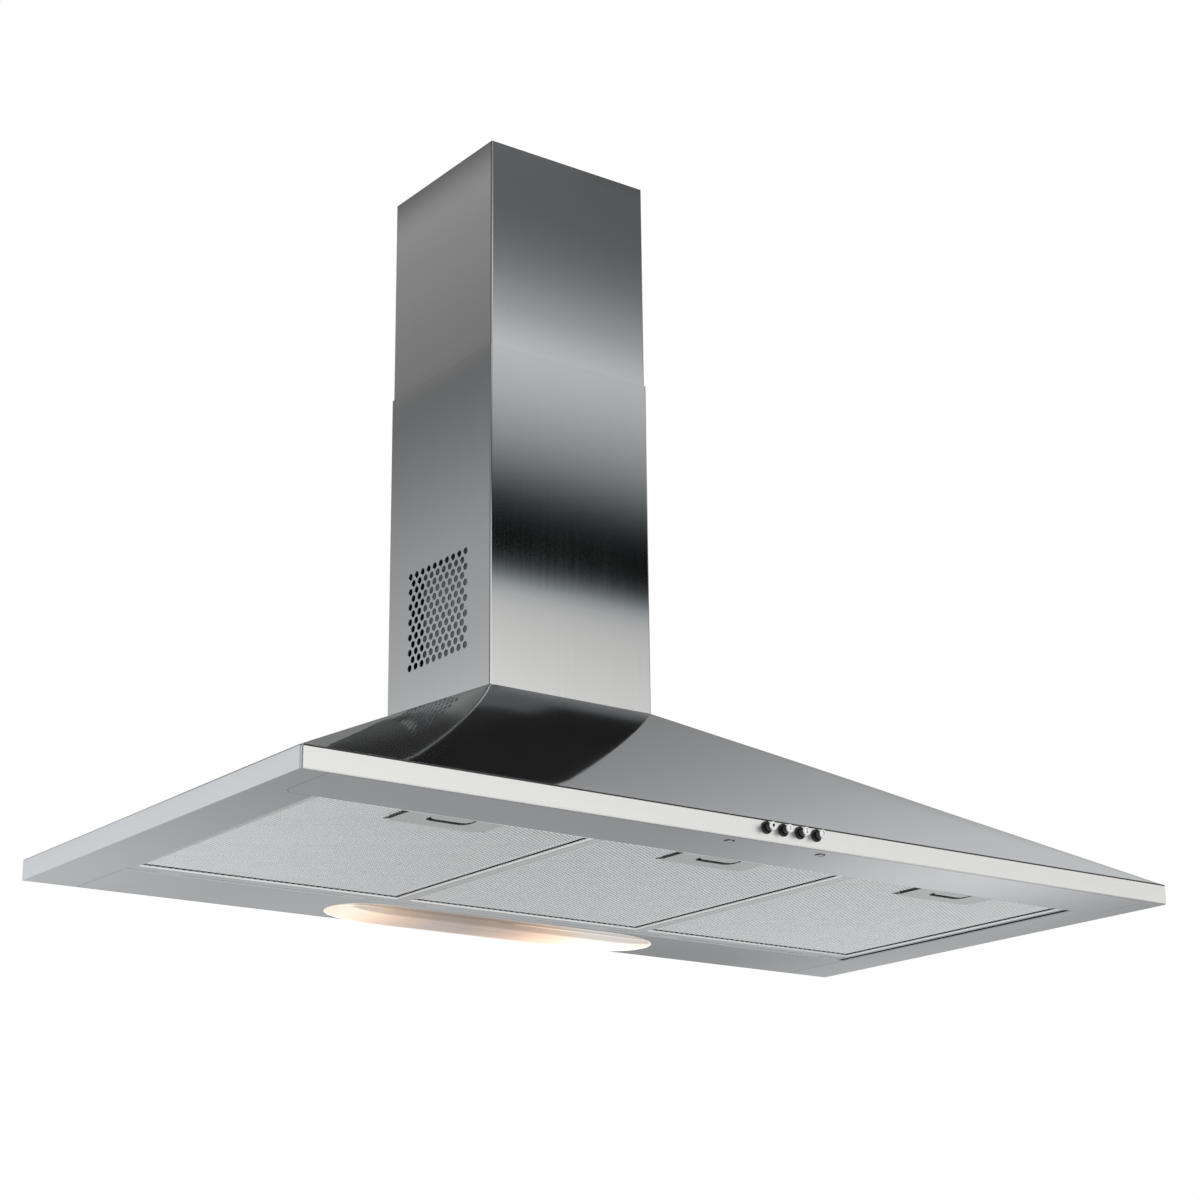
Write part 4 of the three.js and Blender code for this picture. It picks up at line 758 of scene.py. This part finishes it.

# Filter handles: a pressed aluminium plate let into the front of each filter, with a finger opening and, at
# its left end, a black strip of painted shade for the gap there. Behind it a sliding latch carries a bright
# tongue that the finger draws back; the latch is black, painted shade round the tongue in the opening.
PLATE_HALF, PLATE_BACK = 0.0445, -0.3549
PLATE_LOW, PLATE_TOP = -0.1172, -0.1102
LATCH_HALF, LATCH_LOW, LATCH_TOP = 0.022, -0.1142, -0.1118
MOUTH_FRONT, MOUTH_BACK, MOUTH_ROUND = -0.3919, -0.3699, 0.0073
plate_steel = brushed("pressed aluminium", (0.82, 0.83, 0.84), (0.76, 0.77, 0.78), 0.24, "X")
for side, x in FILTERS.items():
    low, high = (x - PLATE_HALF, FILTER_FRONT, PLATE_LOW), (x + PLATE_HALF, PLATE_BACK, PLATE_TOP)
    plate = block(f"filter_plate_{side}", low, high)
    round_edges(plate, lambda at, to: abs(to.z) > 0.9 and at.y > -0.36, 0.009, 8)
    cut(plate, block("guide", (x - 0.0224, -0.3967, -0.1160), (x + 0.0224, -0.3641, -0.1114)))
    cut(plate, block("bolt_slot", (x - 0.0094, -0.400, -0.1146), (x + 0.0094, -0.396, -0.1114)))
    mouth = block("mouth", (x - 0.0195, MOUTH_FRONT, -0.119), (x + 0.0195, MOUTH_BACK, -0.1155))
    round_edges(mouth, lambda at, to: abs(to.z) > 0.9, MOUTH_ROUND, 8)
    cut(plate, mouth)
    smooth(plate)
    put_on(plate, f"filter_{side}", "filter_aluminium", plate_steel, f"filter_handle_{side}")

    # A black strip of painted shade at the plate's left end, for the gap there.
    stop = block(f"filter_shade_strip_{side}", (x - 0.0459, -0.3975, -0.1182), (x - 0.0449, -0.3640, -0.1150))
    round_edges(stop, lambda at, to: abs(to.y) > 0.9 and at.z < -0.118, 0.0002, 2)
    smooth(stop)
    put_on(stop, f"filter_{side}", "black_plastic", black)

    low, high = (x - LATCH_HALF, MOUTH_FRONT, LATCH_LOW), (x + LATCH_HALF, MOUTH_BACK, LATCH_TOP)
    latch = block(f"latch_{side}", low, high)
    add_on(latch, block("bolt", (x - 0.009, -0.4027, LATCH_LOW), (x + 0.009, -0.391, LATCH_TOP)))
    smooth(latch)
    # The latch is black instead of aluminium: painted shade in the finger opening, round the tongue.
    put_on(latch, f"latch_{side}", "filter_aluminium", black, f"filter_latch_{side}")

    tongue = block(f"tongue_{side}", (x - 0.0185, -0.3869, -0.1168), (x + 0.0185, -0.3753, -0.1140))
    round_edges(tongue, lambda at, to: abs(to.z) > 0.9 and at.y > -0.38, MOUTH_ROUND, 8)
    round_edges(tongue, lambda at, to: abs(to.z) > 0.9 and at.y < -0.386, 0.0025, 4)
    smooth(tongue)
    put_on(tongue, f"latch_{side}", "filter_aluminium", plate_steel)

# Buttons: a black bezel stepped like two rings round each hole, a black stem, and a bright
# cap pressed on its end that carries a lamp sign or a speed number. Bezel, stem and cap are
# turned from profiles of (place along the button's axis, radius).
SIGNS = {"light": "lamp", "speed_1": "1", "speed_2": "2", "speed_3": "3"}
CAP_FACE, SIGN_FACE, SIGN_HEIGHT = -0.4794, -0.47945, 0.0052
chrome = finish("chrome", {"Metallic": 1.0}, lambda place: {
    "Base Color": place.noise(40).colours((0.84, 0.85, 0.86), (0.92, 0.93, 0.94)),
    "Roughness": place.noise(300) * 0.05 + 0.05,
})
cap_silver = moulded("cap silver", (0.90, 0.90, 0.89), (0.97, 0.97, 0.96), 0.3)
sign_ink = moulded("sign ink", (0.05, 0.05, 0.055), (0.09, 0.09, 0.1), 0.5)
for key, x in BUTTONS.items():
    spot = (x, BUTTON_LEVEL)
    bezel = turn(f"bezel_{key}", "Y", spot, [
        (-0.4663, 0.00345), (-0.4663, 0.00415), (-0.4703, 0.00415), (-0.4703, 0.0053), (-0.4708, 0.0053),
        (-0.4712, 0.0050), (-0.4713, 0.0045), (-0.4712, 0.0043), (-0.4715, 0.0042), (-0.4719, 0.0040),
        (-0.4719, 0.0037), (-0.4717, 0.00345), (-0.4663, 0.00345),
    ])
    smooth(bezel, 30)
    put_on(bezel, "root", "black_plastic", black, f"button_bezel_{key}")

    stem = turn(f"stem_{key}", "Y", spot, [
        (-0.4600, 0.0), (-0.4600, 0.0031), (-0.4774, 0.0031), (-0.4778, 0.0027), (-0.4778, 0.0),
    ])
    smooth(stem, 30)
    put_on(stem, f"{key}_button", "black_plastic", black, f"button_{key}")

    cap = turn(f"cap_{key}", "Y", spot, [
        (-0.4781, 0.0), (-0.4781, 0.0034), (-0.4790, 0.0034), (CAP_FACE, 0.0031), (-0.4795, 0.0028),
        (CAP_FACE, 0.0026), (CAP_FACE, 0.0),
    ])
    smooth(cap, 30)
    put_on(cap, f"{key}_button", "chrome", cap_silver, f"button_cap_{key}")

    if SIGNS[key] == "lamp":
        mark = turn(f"sign_{key}", "Y", (x, BUTTON_LEVEL + 0.0004), [
            (CAP_FACE, 0.0009), (SIGN_FACE, 0.0009), (SIGN_FACE, 0.0013), (CAP_FACE, 0.0013),
        ], 24)
        low = (x - 0.0005, SIGN_FACE, BUTTON_LEVEL - 0.0018)
        high = (x + 0.0005, -0.4793, BUTTON_LEVEL - 0.0008)
        add_on(mark, block("base", low, high))
    else:
        bpy.ops.object.select_all(action="DESELECT")
        bpy.ops.object.text_add()
        mark = bpy.context.object
        mark.data.body, mark.data.size, mark.data.extrude = SIGNS[key], SIGN_HEIGHT, 0.00003
        mark.data.align_x, mark.data.align_y = "CENTER", "CENTER"
        bpy.ops.object.convert(target="MESH")
        mark = bpy.context.object
        mark.name = mark.data.name = f"sign_{key}"
        upright = Matrix.Rotation(QUARTER_TURN, 4, "X")
        mark.data.transform(Matrix.Translation((x, -0.47943, BUTTON_LEVEL)) @ upright)
    put_on(mark, f"{key}_button", "black_plastic", sign_ink)

# Lamp cover: a shallow dish of milky plastic with round ends, with two bulbs behind it. Their light on it
# is painted
# into its emission colour: cream where a bulb is near, a brownish grey between them, and painted shade at
# the front edge.
COVER_MIDDLE, COVER_HALF = (0.005, -0.039), (0.179, 0.027)
COVER_RIM, COVER_DEPTH, COVER_WALL = -0.1203, 0.006, 0.0012
PAINTED_GLOW = (  # place along the cover in metres, and the colour there
    (-0.168, (0.93, 0.80, 0.68)), (-0.155, (0.94, 0.83, 0.68)), (-0.134, (0.90, 0.70, 0.53)),
    (-0.118, (0.75, 0.53, 0.40)), (-0.098, (0.53, 0.39, 0.29)), (-0.065, (0.35, 0.285, 0.25)),
    (-0.033, (0.32, 0.255, 0.22)), (0.001, (0.44, 0.32, 0.25)), (0.023, (0.60, 0.41, 0.30)),
    (0.047, (0.92, 0.62, 0.45)), (0.069, (0.98, 0.80, 0.58)), (0.094, (1.0, 0.98, 0.90)),
    (0.142, (1.0, 0.98, 0.90)), (0.161, (0.97, 0.88, 0.75)), (0.178, (0.80, 0.70, 0.60)),
)


def glowing(place):
    left, front = (COVER_MIDDLE[i] - COVER_HALF[i] for i in (0, 1))
    length, width = (2 * half for half in COVER_HALF)
    stops = [((x - left) / length, (*shade, 1)) for x, shade in PAINTED_GLOW]
    # The bulbs' light on the cover is painted: an emission colour laid along its length.
    tint = ((place.axis("X") - left) / length).ramp(*stops)
    # Painted shade along the front edge, where the cover meets the panel: the glow turns brown there.
    painted_edge_shade = ((place.axis("Y") - front) / width).ramp((0.0, 0.45), (0.05, 0.5), (0.11, 0.0), (1.0, 0.0))
    shade_brown = (0.2, 0.14, 0.11, 1)
    return {
        "Emission Color": tint.node("Mix", {"data_type": "RGBA"}, {0: painted_edge_shade, 6: tint, 7: shade_brown}, 2),
        "Base Color": place.noise(50).colours((0.10, 0.095, 0.09), (0.14, 0.13, 0.12)),
        "Roughness": place.noise(500) * 0.1 + 0.12,
    }


glow = finish("cover with painted glow", {"Emission Strength": 0.95, "IOR": 1.45}, glowing)
dish = fresh("lamp_dish", bpy.ops.mesh.primitive_uv_sphere_add, segments=96, ring_count=24, radius=1)
# Each point of the sphere moves out to the dish's outline, straight-sided with round ends, and
# down to a flat-bottomed depth; the upper half of the sphere becomes the inside. The outline
# is worked out with both half-sizes as 1, which makes its ends ellipses.
straight = 1 - COVER_HALF[1] / COVER_HALF[0]  # the share of the half-length with straight sides
for point in dish.data.vertices:
    reach = min(1, math.hypot(point.co.x, point.co.y))
    across, deep = (abs(share) / max(reach, 1e-6) for share in point.co.xy)
    if across <= straight * deep:
        rim = 1 / max(deep, 1e-6) * (reach > 1e-5)
    else:
        tight = across / (1 - straight) ** 2
        square = tight * across + deep**2
        rest = (straight / (1 - straight)) ** 2 - 1
        rim = (tight * straight + math.sqrt(max(0, (tight * straight) ** 2 - square * rest))) / square
    inner = point.co.z > 1e-4
    rim *= 0.965 if inner else 1
    point.co.x = COVER_MIDDLE[0] + point.co.x * rim * COVER_HALF[0]
    point.co.y = COVER_MIDDLE[1] + point.co.y * rim * COVER_HALF[1]
    point.co.z = COVER_RIM - (COVER_DEPTH - COVER_WALL * inner) * math.sqrt(max(0, 1 - reach**4))
add_on(dish, block("snap", (-0.005, -0.0616, -0.1241), (0.015, -0.0602, -0.116)))
smooth(dish)
put_on(dish, "lamp_cover_body", "lamp_cover", glow, "lamp_cover")


# Lamps: two frosted glass bulbs lie in line behind the cover, each screwed into a white holder
# and pointing away from the other. Both are turned from one profile and glow warm white.
def frosted(place):
    drift = place.noise(220, detail=2.0)
    return {
        "Base Color": drift.colours((0.96, 0.93, 0.88), (1.0, 0.98, 0.95)),
        "Roughness": drift * 0.1 + 0.3,
        "Emission Color": drift.colours((1.0, 0.80, 0.56), (1.0, 0.88, 0.68)),
    }


BULB = (  # share of the bulb's length from its base, and share of its largest radius
    (0.0, 0.0), (0.0, 0.40), (0.20, 0.40), (0.24, 0.44), (0.32, 0.62), (0.42, 0.84), (0.52, 0.97),
    (0.60, 1.0), (0.70, 0.96), (0.80, 0.84), (0.90, 0.60), (0.97, 0.32), (1.0, 0.0),
)
lit_glass = finish("lit frosted glass", {"Emission Strength": 0.8, "IOR": 1.5}, frosted)
for side in ("left", "right"):
    low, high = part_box(f"bulb_{side}")
    middle = ((low[1] + high[1]) / 2, (low[2] + high[2]) / 2)
    radius = (high[2] - low[2]) / 2
    base, tip = (high[0], low[0]) if side == "left" else (low[0], high[0])
    profile = [(base + (tip - base) * along, radius * wide) for along, wide in BULB]
    bulb = turn(f"lamp_bulb_{side}", "X", middle, profile, 32)
    smooth(bulb, 60)
    put_on(bulb, "root", "bulb_glass", lit_glass, f"bulb_{side}")

# Everything inside that still shows as its own solid gets a finish of its kind: zinc-plated
# brackets, grey, white and black mouldings, a polished shaft and bearings.
grey = moulded("grey plastic", (0.28, 0.30, 0.32), (0.34, 0.36, 0.38), 0.5)
white = moulded("white plastic", (0.80, 0.79, 0.76), (0.88, 0.87, 0.84), 0.4)
finishes = {
    "canopy_steel": canopy_steel, "chimney_steel": chimney_steel, "fascia_steel": fascia_steel,
    "galvanised_steel": zinc, "filter_aluminium": aluminium, "filter_mesh": aluminium,
    "chrome": chrome, "black_plastic": black, "grey_plastic": grey, "white_plastic": white,
    "lamp_cover": white, "bulb_glass": lit_glass,
}
for name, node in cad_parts.items():
    if not node.hide_render:
        kind = node.data.materials[0].name.split(".")[0] if node.data.materials else "galvanised_steel"
        node.data.materials.clear()
        node.data.materials.append(finishes.get(kind, zinc))
